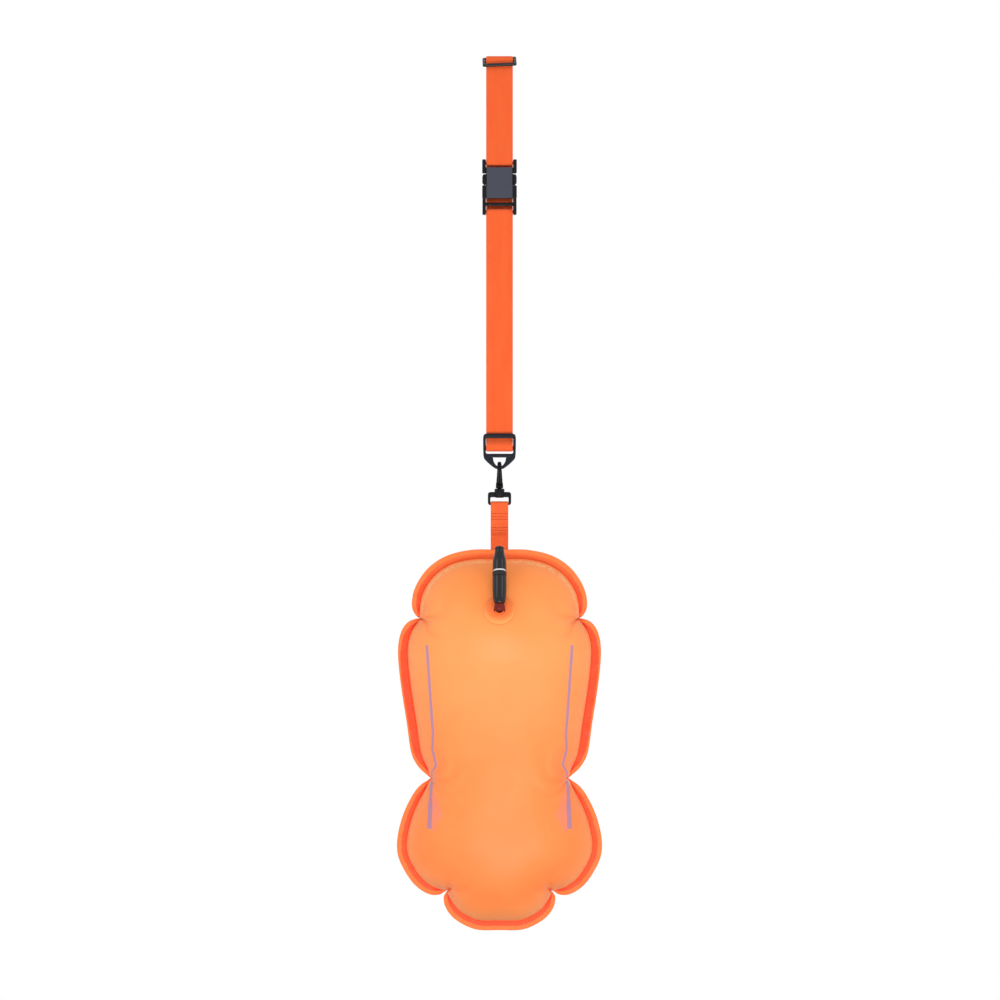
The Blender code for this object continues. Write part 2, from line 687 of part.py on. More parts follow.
def build_hook():
    """A snap hook on a swivel post: one bent rod, a fork for the gate's pin, and a headed stem."""
    pivot = empty("hook_pivot", (0, 0, APEX_Z))
    metal = material("hook_metal", (44, 44, 50), 0.35, 0.3)
    steel = material("pin_steel", (120, 120, 124), 0.3, 1.0)
    throat = RING_APEX_RADIUS + GAP
    crown = throat + HOOK_ROD
    block_top = HOOK_BLOCK_HEIGHT - HOOK_FOOT
    path = [(-crown - GAP, -NOSE_DROP), (-crown, 0), *arc((0, 0), crown, 180, 0, 8)[1:],
            *((HOOK_BACK * back, -HOOK_FOOT * drop) for back, drop in SPINE_SHARES),
            (HOOK_BACK * SPINE_FOOT_SHARE, block_top - HOOK_ROD)]
    radii = [HOOK_ROD] * (len(path) - 3) + [(HOOK_ROD + HOOK_SPINE_ROD) / 2, HOOK_SPINE_ROD, HOOK_SPINE_ROD]
    hook = rod("hook_body", [(0, y, z) for y, z in path], radii, metal, pivot, resolution=3)
    block = rounded([(-HOOK_BLOCK_FRONT, -HOOK_FOOT), (HOOK_BLOCK_BACK, -HOOK_FOOT),
                     (HOOK_BLOCK_BACK, block_top), (-HOOK_BLOCK_FRONT, block_top)], HOOK_ROD * 0.8)
    join(hook, plate("hook_fork", [block], 2 * HOOK_BLOCK_HALF, None, pivot, turn=FACING_SIDE,
                     edge=GAP * 3))
    cut(hook, box("gate_slot", (-GATE_SLOT_HALF, -HOOK_BLOCK_FRONT - OVERRUN, -HOOK_FOOT - OVERRUN),
                  (GATE_SLOT_HALF, -GATE_SLOT_BACK, block_top + OVERRUN), pivot))
    pin_at = (0, -GATE_PIN_FORWARD, -GATE_PIN_DROP)
    cut(hook, cylinder("pin_bore", GATE_PIN_RADIUS + GAP, 4 * HOOK_BLOCK_HALF, pivot, pin_at, FACING_SIDE,
                       sides=ARC_SIDES))
    base_floor = -HOOK_FOOT - SWIVEL_GAP - BOSS_HEIGHT
    head_foot = base_floor + GAP * 2
    head_top = head_foot + STEM_HEAD_HEIGHT
    stem = [(0, -HOOK_FOOT + HOOK_ROD), (STEM_RADIUS, -HOOK_FOOT + HOOK_ROD), (STEM_RADIUS, head_top),
            (STEM_HEAD_RADIUS, head_top), (STEM_HEAD_RADIUS, head_foot + GAP * 3),
            (STEM_HEAD_RADIUS - GAP * 3, head_foot), (0, head_foot)]
    join(hook, turned("stem", stem, None, pivot, closed=False, sides=BORE_SIDES))

    smooth(cylinder("gate_pin", GATE_PIN_RADIUS, 2 * GATE_PIN_HALF, pivot, pin_at, FACING_SIDE, steel,
                    sides=ARC_SIDES))
    gate_pivot = empty("gate_pivot", pin_at, parent=pivot)
    gap_top = GATE_PIN_DROP - NOSE_DROP - GATE_TIP_GAP
    reach = GATE_PIN_FORWARD - crown
    gate_path = [(0, reach * back, gap_top * up) for back, up in GATE_SHARES]
    gate = rod("hook_gate", gate_path, [GATE_ROD] * len(gate_path), metal, gate_pivot, resolution=2)
    join(gate, cylinder("gate_hub", GATE_HUB, 2 * (GATE_SLOT_HALF - GAP), gate_pivot, (0, 0, 0), FACING_SIDE))
    cut(gate, cylinder("spring_nest", GATE_HUB + GAP * 2, 2 * SPRING_NEST_HALF, gate_pivot, (0, 0, 0),
                       FACING_SIDE),
        cylinder("gate_bore", GATE_PIN_RADIUS + GAP, 4 * GATE_SLOT_HALF, gate_pivot, (0, 0, 0), FACING_SIDE,
                 sides=ARC_SIDES))
    room = SPRING_NEST_HALF - GATE_SPRING_WIRE - GAP
    coil("gate_spring", GATE_SPRING_RADIUS, GATE_SPRING_WIRE, GATE_SPRING_TURNS, -room, room, steel, pivot,
         pin_at, FACING_SIDE)


def build_base():
    """The webbing loop in which the hook's stem turns: a bored boss over a rectangular eye."""
    pivot = empty("swivel_pivot", (0, 0, BASE_Z))
    half = LEASH_WIDTH / 2 + STRAP_PLAY + BASE_ARM
    foot = -BASE_TO_BAR - BASE_BAR_RADIUS
    loop_top = -BASE_TOP
    window_top = loop_top - BASE_TOP_BAR
    outer = rounded(rectangle(half, foot, loop_top), BASE_CORNER)
    inner = rounded(rectangle(half - BASE_ARM, -BASE_TO_BAR, window_top), BASE_CORNER / 3)
    base = plate("swivel_base", [outer, inner], BASE_THICK, material("base_plastic", (34, 28, 32), 0.35),
                 pivot, edge=BASE_EDGE)
    between = half - BASE_ARM
    cut(base, box("bar_gap", (-between, -BASE_THICK, foot - OVERRUN),
                  (between, BASE_THICK, -BASE_TO_BAR + BASE_BAR_RADIUS), pivot))
    boss = [(0, 0), (BOSS_RADIUS - BOSS_ROUND / 2, 0), (BOSS_RADIUS, -BOSS_ROUND / 2),
            (BOSS_RADIUS, -BOSS_HEIGHT + BOSS_ROUND), (BOSS_RADIUS - BOSS_ROUND, -BOSS_HEIGHT),
            (0, -BOSS_HEIGHT)]
    join(base, turned("boss", boss, None, pivot, closed=False),
         cylinder("strap_bar_round", BASE_BAR_RADIUS, 2 * (between + BASE_BAR_SUNK), pivot,
                  (0, 0, -BASE_TO_BAR), FACING_SIDE))
    pocket = STEM_HEAD_HEIGHT + GAP * 4
    cut(base, cylinder("stem_bore", STEM_RADIUS + GAP, 2 * BOSS_HEIGHT, pivot, (0, 0, -BOSS_HEIGHT / 2)),
        cylinder("head_pocket", STEM_HEAD_RADIUS + GAP, pocket + OVERRUN, pivot,
                 (0, 0, -BOSS_HEIGHT + (pocket - OVERRUN) / 2)))


def build_leash():
    """Webbing from its sewn end, up over the base's bar, and down to the crease at the chamber's rim."""
    pivot = empty("leash_pivot", (0, 0, LEASH_Z))
    webbing = material("leash_webbing", (239, 98, 52), 0.75)
    pressed = LEASH_THICK / 2 + GAP * 0.7
    closing = LEASH_Z - LEASH_CLOSING
    front = [(-pressed, LEASH_Z - LEASH_SEWN), (-pressed, closing),
             *ease((-pressed, closing), (-LEASH_WRAP, LEASH_Z), 4)]
    back = [*ease((LEASH_WRAP, LEASH_Z), (pressed, closing), 4), (pressed, closing),
            (pressed, LEASH_Z - LEASH_SEWN), (CREASE_Y, CREASE_Z + LEASH_THICK),
            (CREASE_Y, CREASE_Z + LEASH_CREASE)]
    path = front + arc((0, LEASH_Z), LEASH_WRAP, 180, 0) + back
    ribbon("leash_webbing", path, LEASH_WIDTH, LEASH_THICK, webbing, pivot, (0, LEASH_Z))


def outline_half():
    """The half outline of the air sheets: points of (across, up), with the notches' places in the list."""
    points, notches = [], []
    for lobe in LOBE_SHARES:
        way = np.array(lobe) * (BUOY_WIDTH / 2, -BUOY_LENGTH)
        ends = np.vstack([2 * way[0] - way[1], way, 2 * way[-1] - way[-2]])
        for before, start, end, after in zip(ends, ends[1:], ends[2:], ends[3:]):
            for s in np.linspace(0, 1, 8, endpoint=False):
                points.append(0.5 * (2 * start + (end - before) * s
                                     + (2 * before - 5 * start + 4 * end - after) * s ** 2
                                     + (3 * start - before - 3 * end + after) * s ** 3))
        notches.append(len(points))
    points.append(way[-1])
    points = np.array(points)
    along = np.concatenate([[0], np.cumsum(np.linalg.norm(np.diff(points, axis=0), axis=1))])
    notch_along = along[notches[:-1]]
    stops = np.linspace(0, along[-1], OUTLINE_SAMPLES + 1)
    for place_along in notch_along:
        stops[np.argmin(abs(stops - place_along))] = place_along
    half = np.column_stack([np.interp(stops, along, points[:, 0]), np.interp(stops, along, points[:, 1])])
    return half, stops, notch_along


def weld_margin(stops, notches):
    """Rim width along the outline: full, and drawn in near each notch."""
    near = sum(np.exp(-((stops - notch) / NOTCH_REACH) ** 2) for notch in notches)
    return RIM_WIDTH - (RIM_WIDTH - RIM_AT_NOTCH) * np.minimum(near, 1)


def bulge(share):
    """Height of the air sheet as a share of the full thickness, from 1 on the spine to 0 at the weld."""
    return np.clip(1 - share ** 2.5, 0, 1) ** (1 / 1.9)


def seat():
    """Where the valve's seat lies on the front sheet, as y and z in the chamber's frame."""
    way_out = (SPINE_INSET + RIM_WIDTH - VALVE_DROP) / SPINE_INSET
    return -SHEET_OUT - (BUOY_HALF_THICK - SHEET_OUT) * float(bulge(way_out)), -VALVE_DROP


def sheet_grid(front):
    """Rings of points from the rim's edge to the spine, for the front sheet or, mirrored, the back one."""
    half, stops, notches = outline_half()
    spine_top, spine_foot = -SPINE_INSET - RIM_WIDTH, -BUOY_LENGTH + SPINE_INSET + RIM_WIDTH
    target = np.column_stack([np.zeros(len(half)), np.clip(half[:, 1], spine_foot, spine_top)])
    inward = target - half
    inward /= np.linalg.norm(inward, axis=1)[:, None]
    weld = half + inward * weld_margin(stops, notches)[:, None]
    loop = np.vstack([weld, (weld * (-1, 1))[::-1][1:-1]])
    reach = np.arange(-4, 5)
    soft = sum(np.roll(loop, shift, axis=0) * math.exp(-(shift / 2.5) ** 2) for shift in reach)
    soft = (soft / sum(math.exp(-(shift / 2.5) ** 2) for shift in reach))[:len(half)]
    rings = [np.column_stack([half[:, 0], np.zeros(len(half)), half[:, 1]])]
    for share in RING_SHARES:
        calm = min(1.0, (1 - share) * 5)
        line = weld * (1 - calm) + soft * calm
        flat = target + (line - target) * share
        rings.append(np.column_stack([flat[:, 0], np.full(len(half), float(bulge(share))), flat[:, 1]]))
    grid = np.array(rings)
    height = grid[:, :, 1] * (BUOY_HALF_THICK - SHEET_OUT)
    if front:
        seat_y, seat_z = seat()
        plane = -seat_y - SHEET_OUT - (grid[:, :, 2] - seat_z) * math.tan(VALVE_SEAT_TILT)
        far = np.hypot(grid[:, :, 0], (grid[:, :, 2] - seat_z) / math.cos(VALVE_SEAT_TILT))
        blend = np.clip((far - SEAT_FLAT_RADIUS) / SEAT_BLEND, 0, 1)
        blend = blend * blend * (3 - 2 * blend)
        height = height * blend + plane * (1 - blend)
    grid[:, :, 1] = (SEAM + height) * (-1 if front else 1)
    other = (grid * (-1, 1, 1))[:, ::-1]
    return np.concatenate([grid, other[:, 1:]], axis=1)


def build_chamber():
    """Two sheets welded at the rim, and on them the leash's sewn tab, its patch and the valve's flange."""
    pivot = empty("chamber_pivot", (0, CREASE_Y, CREASE_Z))
    middle = (0, -CREASE_Y, -RIM_BELOW_CREASE)
    skin = material("chamber_sheet", (253, 122, 66), 0.35)
    weld = material("weld_sheet", (252, 128, 70), 0.35)
    for name, front in (("front_panel", True), ("back_panel", False)):
        panel = place(name, sheet(name, sheet_grid(front)), skin, pivot, middle)
        wall = panel.modifiers.new("wall", "SOLIDIFY")
        wall.thickness = SHEET
        wall.offset = -1 if front else 1
        smooth(panel, 60)
    seat_y, seat_z = seat()
    seat_at = (0, middle[1] + seat_y, middle[2] + seat_z)
    seat_turn = (math.pi / 2 - VALVE_SEAT_TILT, 0, 0)
    cut(bpy.data.objects["front_panel"],
        cylinder("seat_hole", SEAT_HOLE, OVERRUN * 2, pivot, seat_at, seat_turn))

    tab_top = -LEASH_CREASE
    tab = [(CREASE_Y, CREASE_Z + tab_top), (CREASE_Y, CREASE_Z - TAB_LENGTH)]
    ribbon("leash_tab", tab, LEASH_WIDTH, LEASH_THICK, bpy.data.materials["leash_webbing"], pivot,
           (CREASE_Y, CREASE_Z))
    low = SHEET_OUT + GAP + PATCH_THICK / 2 - CREASE_Y
    high = LEASH_THICK / 2 + GAP + PATCH_THICK / 2
    side, shoulder = PATCH_WIDTH / 2, LEASH_WIDTH / 2 + GAP + PATCH_THICK
    top = -RIM_BELOW_CREASE - GAP
    profile = [(-side, low), (-shoulder - PATCH_THICK, low), (-shoulder, high), (shoulder, high),
               (shoulder + PATCH_THICK, low), (side, low)]
    grid = np.array([[(x, y, z) for z in (top, top - PATCH_LENGTH)] for x, y in profile])
    patch = place("leash_patch", sheet("leash_patch", grid), weld, pivot)
    wall = patch.modifiers.new("thickness", "SOLIDIFY")
    wall.thickness = PATCH_THICK
    wall.offset = 0

    flange = [(FLANGE_RADIUS, GAP + FLANGE_THICK), (FLANGE_RADIUS, GAP), (FLANGE_BORE, GAP)]
    meet = math.asin(FLANGE_BORE / (BALL_RADIUS + GAP))
    dish = [((BALL_RADIUS + GAP) * math.sin(a), BALL_HEIGHT - (BALL_RADIUS + GAP) * math.cos(a))
            for a in np.linspace(meet, CUP_ANGLE, 5)]
    deck = GAP + FLANGE_THICK
    bead_in = FLANGE_BEAD_RADIUS - 2 * FLANGE_BEAD
    rest = [(CUP_RADIUS, dish[-1][1] - GAP), (CUP_RADIUS, deck), (bead_in, deck),
            (bead_in + FLANGE_BEAD / 2, deck + FLANGE_BEAD), (FLANGE_BEAD_RADIUS - FLANGE_BEAD / 2,
                                                              deck + FLANGE_BEAD), (FLANGE_BEAD_RADIUS, deck)]
    turned("valve_flange", flange + dish + rest, weld, pivot, seat_at, seat_turn, sides=32)
    out = (0, -math.cos(VALVE_SEAT_TILT) * BALL_HEIGHT, math.sin(VALVE_SEAT_TILT) * BALL_HEIGHT)
    return pivot, tuple(a + b for a, b in zip(seat_at, out))


def build_valve(chamber, ball_at):
    """An oral valve lying along the sheet: all its pieces turn round one axis, which is local Z."""
    pivot = empty("valve_pivot", ball_at, (-VALVE_LEAN, 0, 0), chamber)
    black = material("valve_plastic", (42, 42, 48), 0.3)
    red = material("neck_rubber", (120, 22, 20), 0.5)
    white = material("band_plastic", (226, 226, 228), 0.35)
    seal_rubber = material("seal_rubber", (60, 60, 62), 0.7)
    steel = bpy.data.materials["pin_steel"]

    start = math.asin(NECK_RADIUS / BALL_RADIUS)
    foot = math.acos(NECK_BORE / BALL_RADIUS) + math.pi / 2
    ball = [(BALL_RADIUS * math.sin(a), BALL_RADIUS * math.cos(a)) for a in np.linspace(start, foot, 9)]
    turned("valve_tube", [(NECK_RADIUS, NECK_TOP), *ball, (NECK_BORE, NECK_TOP)], red, pivot)

    bore = NECK_RADIUS + GAP
    clear = BALL_HEIGHT - FLANGE_THICK
    recess_end = math.sqrt(max(clear ** 2 - bore ** 2, BARREL_START ** 2))
    recess_start = math.sqrt(clear ** 2 - BARREL_START ** 2)
    span = BARREL_TOP - BARREL_START
    foot_wide, foot_up = BARREL_FOOT_SHARES
    neck_top = BARREL_TOP + COLLAR_HEIGHT + 2 * GAP
    neck_bore = BARREL_NECK_RADIUS - BARREL_NECK_WALL
    barrel = [(BARREL_NECK_RADIUS, neck_top), (BARREL_NECK_RADIUS, BARREL_TOP),
              (BARREL_RADIUS - GAP, BARREL_TOP), (BARREL_RADIUS, BARREL_TOP - 3 * GAP),
              *((BARREL_RADIUS * wide, BARREL_START + span * up) for wide, up in BARREL_SHARES),
              (BARREL_END_RADIUS * foot_wide, BARREL_START + span * foot_up),
              (BARREL_END_RADIUS, BARREL_START + 3 * GAP),
              (BARREL_END_RADIUS - 2 * GAP, BARREL_START), (recess_start, BARREL_START), (bore, recess_end),
              (bore, VALVE_SEAT_AT), (VALVE_SEAT_HOLE, VALVE_SEAT_AT),
              (VALVE_SEAT_HOLE, VALVE_SEAT_AT + VALVE_SEAT_THICK),
              (neck_bore, VALVE_SEAT_AT + VALVE_SEAT_THICK), (neck_bore, neck_top)]
    turned("valve_barrel", barrel, black, pivot)

    low, high = BARREL_TOP + GAP, BARREL_TOP + GAP + COLLAR_HEIGHT
    ribs = []
    for rib in range(COLLAR_RIBS):
        rib_top = high - rib * COLLAR_HEIGHT / COLLAR_RIBS
        rib_foot = rib_top - COLLAR_HEIGHT / COLLAR_RIBS
        ribs += [(COLLAR_RADIUS - COLLAR_GROOVE, rib_top), (COLLAR_RADIUS, rib_top - COLLAR_GROOVE),
                 (COLLAR_RADIUS, rib_foot + COLLAR_GROOVE)]
    turned("lock_collar", [*ribs, (COLLAR_RADIUS - COLLAR_GROOVE, low), (BARREL_NECK_RADIUS + GAP, low),
                           (BARREL_NECK_RADIUS + GAP, high)], black, pivot)

    band_foot = neck_top + GAP
    band_top = band_foot + BAND_SHOWN + BAND_HIDDEN
    turned("valve_band", [(BAND_RADIUS, band_top), (BAND_RADIUS, band_foot), (neck_bore, band_foot),
                          (neck_bore, band_top)], white, pivot)

    skirt = band_foot + BAND_SHOWN
    tip = skirt + MOUTH_LENGTH
    skirt_in = MOUTH_RADIUS - MOUTH_SKIRT
    groove_top, groove_foot = MOUTH_GROOVE_SHARES
    chest = band_top + MOUTH_TRAVEL + GAP
    spider_top = chest + SPIDER_HEIGHT + MOUTH_FLOOR - GAP
    mouth = [(MOUTH_TIP_RADIUS - MOUTH_LIP, tip), (MOUTH_TIP_RADIUS, tip - MOUTH_LIP),
             (MOUTH_TIP_RADIUS, tip - MOUTH_LENGTH * groove_top),
             (MOUTH_TIP_RADIUS - MOUTH_LIP, tip - MOUTH_LENGTH * groove_foot),
             *((MOUTH_TIP_RADIUS * wide, tip - MOUTH_LENGTH * drop) for wide, drop in MOUTH_NECK_SHARES),
             (MOUTH_RADIUS, tip - MOUTH_LENGTH * MOUTH_FLARE_SHARE),
             (MOUTH_RADIUS, skirt), (skirt_in, skirt), (skirt_in, chest), (SPIDER_RADIUS + GAP, chest),
             (SPIDER_RADIUS + GAP, spider_top), (MOUTH_BORE, spider_top), (MOUTH_BORE, tip)]
    turned("mouthpiece", mouth, black, pivot)

    build_plunger(pivot, spider_top - GAP - SPIDER_HEIGHT, black, seal_rubber, steel)
    return pivot


def build_plunger(pivot, spider_foot, black, rubber, steel):
    """The stem that the mouthpiece pushes: a spider in its bore, a rod, a head with its seal, a spring."""
    head_top = VALVE_SEAT_AT - GAP - SEAL_HEIGHT - GAP
    spider_top = spider_foot + SPIDER_HEIGHT
    ring = [(SPIDER_RADIUS, spider_top), (SPIDER_RADIUS, spider_foot),
            (SPIDER_RADIUS - SPIDER_RIM, spider_foot), (SPIDER_RADIUS - SPIDER_RIM, spider_top)]
    stem = [(0, spider_top), (SPIDER_HUB, spider_top),
            (SPIDER_HUB, spider_foot), (ROD_RADIUS, spider_foot), (ROD_RADIUS, head_top),
            (HEAD_RADIUS, head_top), (HEAD_RADIUS, head_top - HEAD_HEIGHT / 2),
            (HEAD_RADIUS / 2, head_top - HEAD_HEIGHT), (0, head_top - HEAD_HEIGHT)]
    plunger = turned("valve_stem", stem, black, pivot, closed=False, sides=ARC_SIDES)
    join(plunger, turned("spider_ring", ring, None, pivot, sides=TURN_SIDES))
    inner, outer = SPIDER_HUB / 2, SPIDER_RADIUS - SPIDER_RIM / 2
    for arm in range(SPIDER_ARMS):
        turn = 2 * math.pi * arm / SPIDER_ARMS
        spoke = box(f"spider_arm_{arm}", (inner, -SPIDER_RIM / 2, SPIDER_HEIGHT * 0.1),
                    (outer, SPIDER_RIM / 2, SPIDER_HEIGHT * 0.9), pivot)
        middle = (inner + outer) / 2
        spoke.location = (middle * math.cos(turn), middle * math.sin(turn), spider_foot + SPIDER_HEIGHT / 2)
        spoke.rotation_euler = (0, 0, turn)
        join(plunger, spoke)
    seal_top = VALVE_SEAT_AT - GAP
    turned("valve_seal", [(HEAD_RADIUS - GAP, seal_top), (HEAD_RADIUS - GAP, seal_top - SEAL_HEIGHT),
                          (SEAL_HOLE, seal_top - SEAL_HEIGHT), (SEAL_HOLE, seal_top)], rubber, pivot)
    low = VALVE_SEAT_AT + VALVE_SEAT_THICK + GAP + VALVE_SPRING_WIRE
    high = spider_foot - GAP - VALVE_SPRING_WIRE
    coil("valve_spring", VALVE_SPRING_RADIUS, VALVE_SPRING_WIRE, VALVE_SPRING_TURNS, low, high, steel, pivot)


def main():
    belt = empty("belt_hang", (0, 0, 0))
    build_belt(belt)
    build_slider()
    build_buckle(belt)
    build_ring()
    build_hook()
    build_base()
    build_leash()
    chamber, ball_at = build_chamber()
    build_valve(chamber, ball_at)


for old in list(bpy.data.objects):
    bpy.data.objects.remove(old)
PARTS = collection("open_water_swim_buoy")
TOOLS = collection("cutters")
main()
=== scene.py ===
"""Open water swim buoy, dressed for its picture: webbing, stitches, welded air sheets and moulded parts.

Metres, +Z up, the front towards -Y. The origin is the crown of the belt's top fold.
"""

import math

import bmesh
import bpy
import numpy as np
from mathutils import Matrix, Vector


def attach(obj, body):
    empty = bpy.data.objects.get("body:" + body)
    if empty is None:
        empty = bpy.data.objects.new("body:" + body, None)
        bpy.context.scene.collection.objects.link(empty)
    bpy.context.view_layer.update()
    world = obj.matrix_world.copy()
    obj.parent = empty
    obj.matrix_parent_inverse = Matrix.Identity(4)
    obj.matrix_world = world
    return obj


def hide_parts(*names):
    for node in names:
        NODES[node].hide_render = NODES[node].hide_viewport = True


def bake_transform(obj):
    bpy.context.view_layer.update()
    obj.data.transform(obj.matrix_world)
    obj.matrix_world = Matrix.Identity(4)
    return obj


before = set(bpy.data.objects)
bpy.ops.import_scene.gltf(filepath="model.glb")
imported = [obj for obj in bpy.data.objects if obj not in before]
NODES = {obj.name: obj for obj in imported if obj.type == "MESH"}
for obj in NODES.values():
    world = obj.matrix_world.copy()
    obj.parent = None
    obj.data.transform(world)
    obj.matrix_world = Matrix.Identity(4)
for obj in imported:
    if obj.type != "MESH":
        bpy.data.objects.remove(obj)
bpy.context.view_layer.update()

WHOLE_TURN = 2 * math.pi

# Sizes repeated from the part
GAP = 0.0003
BELT_WIDTH, BELT_THICK, BELT_APART = 0.037, 0.0018, 0.009
BUCKLE_DROP, BUCKLE_FORWARD = 0.1446, 0.0063
MALE_BAR_AT, END_BAR_AT, BAR_THICK = 0.0048, 0.0725, 0.004
UPPER_LEAD, LOWER_LEAD, RING_LEAD, BELT_TAIL = 0.038, 0.043, 0.034, 0.026
RING_DROP, RING_TOP, RING_TOP_BAR, RING_THICK, RING_BAR_RADIUS = 0.5448, 0.0202, 0.0068, 0.0044, 0.0032
RING_TO_APEX, PIN_FORWARD, PIN_DROP, PIN_RADIUS = 0.0273, 0.0094, 0.026, 0.001
LEASH_Z, LEASH_WIDTH, LEASH_THICK = -0.6225, 0.0245, 0.0015
LEASH_SEWN, LEASH_CLOSING, TAB_LENGTH, BASE_BAR_RADIUS = 0.0425, 0.01, 0.013, 0.0019
PATCH_WIDTH, PATCH_LENGTH, PATCH_THICK = 0.034, 0.0105, 0.0006
CREASE_Z, BUOY_Z = -0.6845, -0.686
BUOY_LENGTH, BUOY_WIDTH, BUOY_HALF_THICK = 0.529, 0.285, 0.075
SHEET, SEAM, RIM_WIDTH, RIM_AT_NOTCH, NOTCH_REACH = 0.0006, 0.00015, 0.0135, 0.0022, 0.017
SPINE_INSET, VALVE_DROP, SEAT_TILT, VALVE_LEAN = 0.128, 0.083, math.radians(28), math.radians(18)
FLANGE_RADIUS, FLANGE_BORE, CUP_RADIUS, CUP_ANGLE = 0.0208, 0.004, 0.0066, math.radians(44)
BALL_RADIUS, BALL_HEIGHT, NECK_RADIUS, NECK_BORE, NECK_TOP = 0.0075, 0.0102, 0.0055, 0.0025, 0.014
CREASE_Y = SEAM + SHEET + GAP + LEASH_THICK / 2

# Sizes of the finer surfaces
STRAP_BEND, RIB_DEPTH = 0.0022, 0.07
FILM_HEIGHT = BUOY_HALF_THICK - SEAM - SHEET
FILM_FALL, FILM_ROUND = 2.5, 1 / 1.9
SEAT_FLAT_RADIUS, SEAT_BLEND = 0.0225, 0.060
PIN_HALF, PAD_THICK, PAD_WEB = 0.0051, 0.0108, 0.0062
BAR_SIDES = 28
FLOOR_Z, LIGHT_LEVEL = -1.9, 0.75

# Outline of the air sheets, lobe by lobe from the top, as shares of half the width and of the length
LOBE_SHARES = (
    ((0.0, 0.0), (0.28, 0.001), (0.52, 0.017), (0.70, 0.050), (0.82, 0.098), (0.855, 0.145),
     (0.815, 0.173), (0.746, 0.180)),
    ((0.746, 0.180), (0.87, 0.187), (0.952, 0.212), (0.99, 0.262), (0.968, 0.343), (0.905, 0.455),
     (0.862, 0.532), (0.79, 0.571), (0.668, 0.6005)),
    ((0.668, 0.6005), (0.80, 0.627), (0.915, 0.680), (0.982, 0.736), (1.0, 0.785), (0.962, 0.825),
     (0.85, 0.874), (0.72, 0.902), (0.60, 0.907), (0.493, 0.892)),
    ((0.493, 0.892), (0.543, 0.914), (0.522, 0.942), (0.44, 0.970), (0.30, 0.992), (0.18, 1.0),
     (0.0, 1.0)),
)

# Right half of the ring in millimetres, from its top's middle to its foot's: outer line, then inner line
RING_HALF = (((0, 20.2), (0, 13.4)), ((10, 20.2), (9, 13.4)), ((17.6, 20.1), (16.5, 13.4)),
             ((21.4, 18.5), (18.6, 12.9)), ((22.75, 14.5), (18.9, 11)), ((22.8, 6), (18.9, 5)),
             ((22.7, -3), (18.9, -3)), ((22.3, -11), (18.6, -6.8)), ((20.7, -15.8), (14.6, -9.9)),
             ((15.8, -20.9), (9.4, -13.4)), ((11.0, -25.0), (8.1, -18.4)), ((5.8, -28.7), (5.4, -23.2)),
             ((2.7, -29.5), (2.7, -25.0)), ((0, -29.6), (0, -25.1)))

# The hook's back from its crown to its fork, as (y, z) from the ring's apex
HOOK_BACK_LINE = ((0.0056, 0.0), (0.00775, -0.0058), (0.0097, -0.0121), (0.0102, -0.0173),
                  (0.0093, -0.0235), (0.0086, -0.0285))

# The right thumb pad's outer line, as (x, z) from the buckle's top, and its straight inner line
PAD_OUTER = ((0.0216, -0.0206), (0.0229, -0.0213), (0.0238, -0.0235), (0.0240, -0.0285),
             (0.0239, -0.0324), (0.0234, -0.0337), (0.0226, -0.0340))
PAD_INNER_X, PAD_INNER_TOP, PAD_INNER_FOOT = 0.0199, -0.0209, -0.0343

# Heights of the rows of stitches on the leash
LEASH_SEAMS = (-0.6283, -0.6359, -0.6405, -0.6441, -0.6555, -0.6595, -0.6630)

# The panel's colours by share of its height, from its foot to its top
PANEL_STOPS = ((0.0, (255, 136, 72)), (0.08, (255, 134, 69)), (0.20, (255, 132, 65)), (0.45, (255, 137, 69)),
               (0.72, (255, 154, 85)), (0.90, (255, 149, 77)), (1.0, (255, 142, 72)))

# Middles of the side stripes: share of the way up a range of heights, and how far from the centre line
STRIPE_RANGE = (-1.1, -0.8)
STRIPE_MIDDLES = ((0.0, 0.0980), (0.355, 0.0937), (0.3917, 0.0873), (0.4647, 0.0927),
                  (0.538, 0.0916), (0.602, 0.0931), (1.0, 0.1014))
CURVE_SCALE = 5
STRIPE_FOOT, STRIPE_TOP = -1.0698, -0.8171

# The middle of the painted shade, a deeper orange, about the valve
VALVE_SHADE_MIDDLE = (0, -0.045, -0.725)

# The buckle's flat slate plate: its half width, its face and its ends
PLATE_HALF, PLATE_FACE, PLATE_TOP, PLATE_FOOT = 0.01795, -0.0119, -0.1553, -0.19905


# Meshes from arrays

def quads_between(near, across, flip=False):
    """Four-cornered faces between the rows of two index grids, the second a column further on."""
    faces = np.stack([near[:-1], across[:-1], across[1:], near[1:]], axis=-1).reshape(-1, 4)
    return faces[:, ::-1] if flip else faces


def merge(mesh):
    """Merges the points that lie on each other, as where a ring closes or a sheet meets its spine."""
    work = bmesh.new()
    work.from_mesh(mesh)
    bmesh.ops.remove_doubles(work, verts=work.verts, dist=0.00001)
    work.to_mesh(mesh)
    work.free()


def turn_outwards(mesh):
    """Turns the faces of closed shells outwards."""
    work = bmesh.new()
    work.from_mesh(mesh)
    bmesh.ops.recalc_face_normals(work, faces=work.faces)
    work.to_mesh(mesh)
    work.free()


def put(name, mesh, paint, body=None, replaces=()):
    """A mesh as a smooth object on its body, with its material and the nodes that it replaces."""
    mesh.shade_smooth()
    mesh.materials.append(paint)
    piece = bpy.data.objects.new(name, mesh)
    bpy.context.scene.collection.objects.link(piece)
    if body:
        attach(piece, body)
    if replaces:
        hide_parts(*replaces)
    return piece


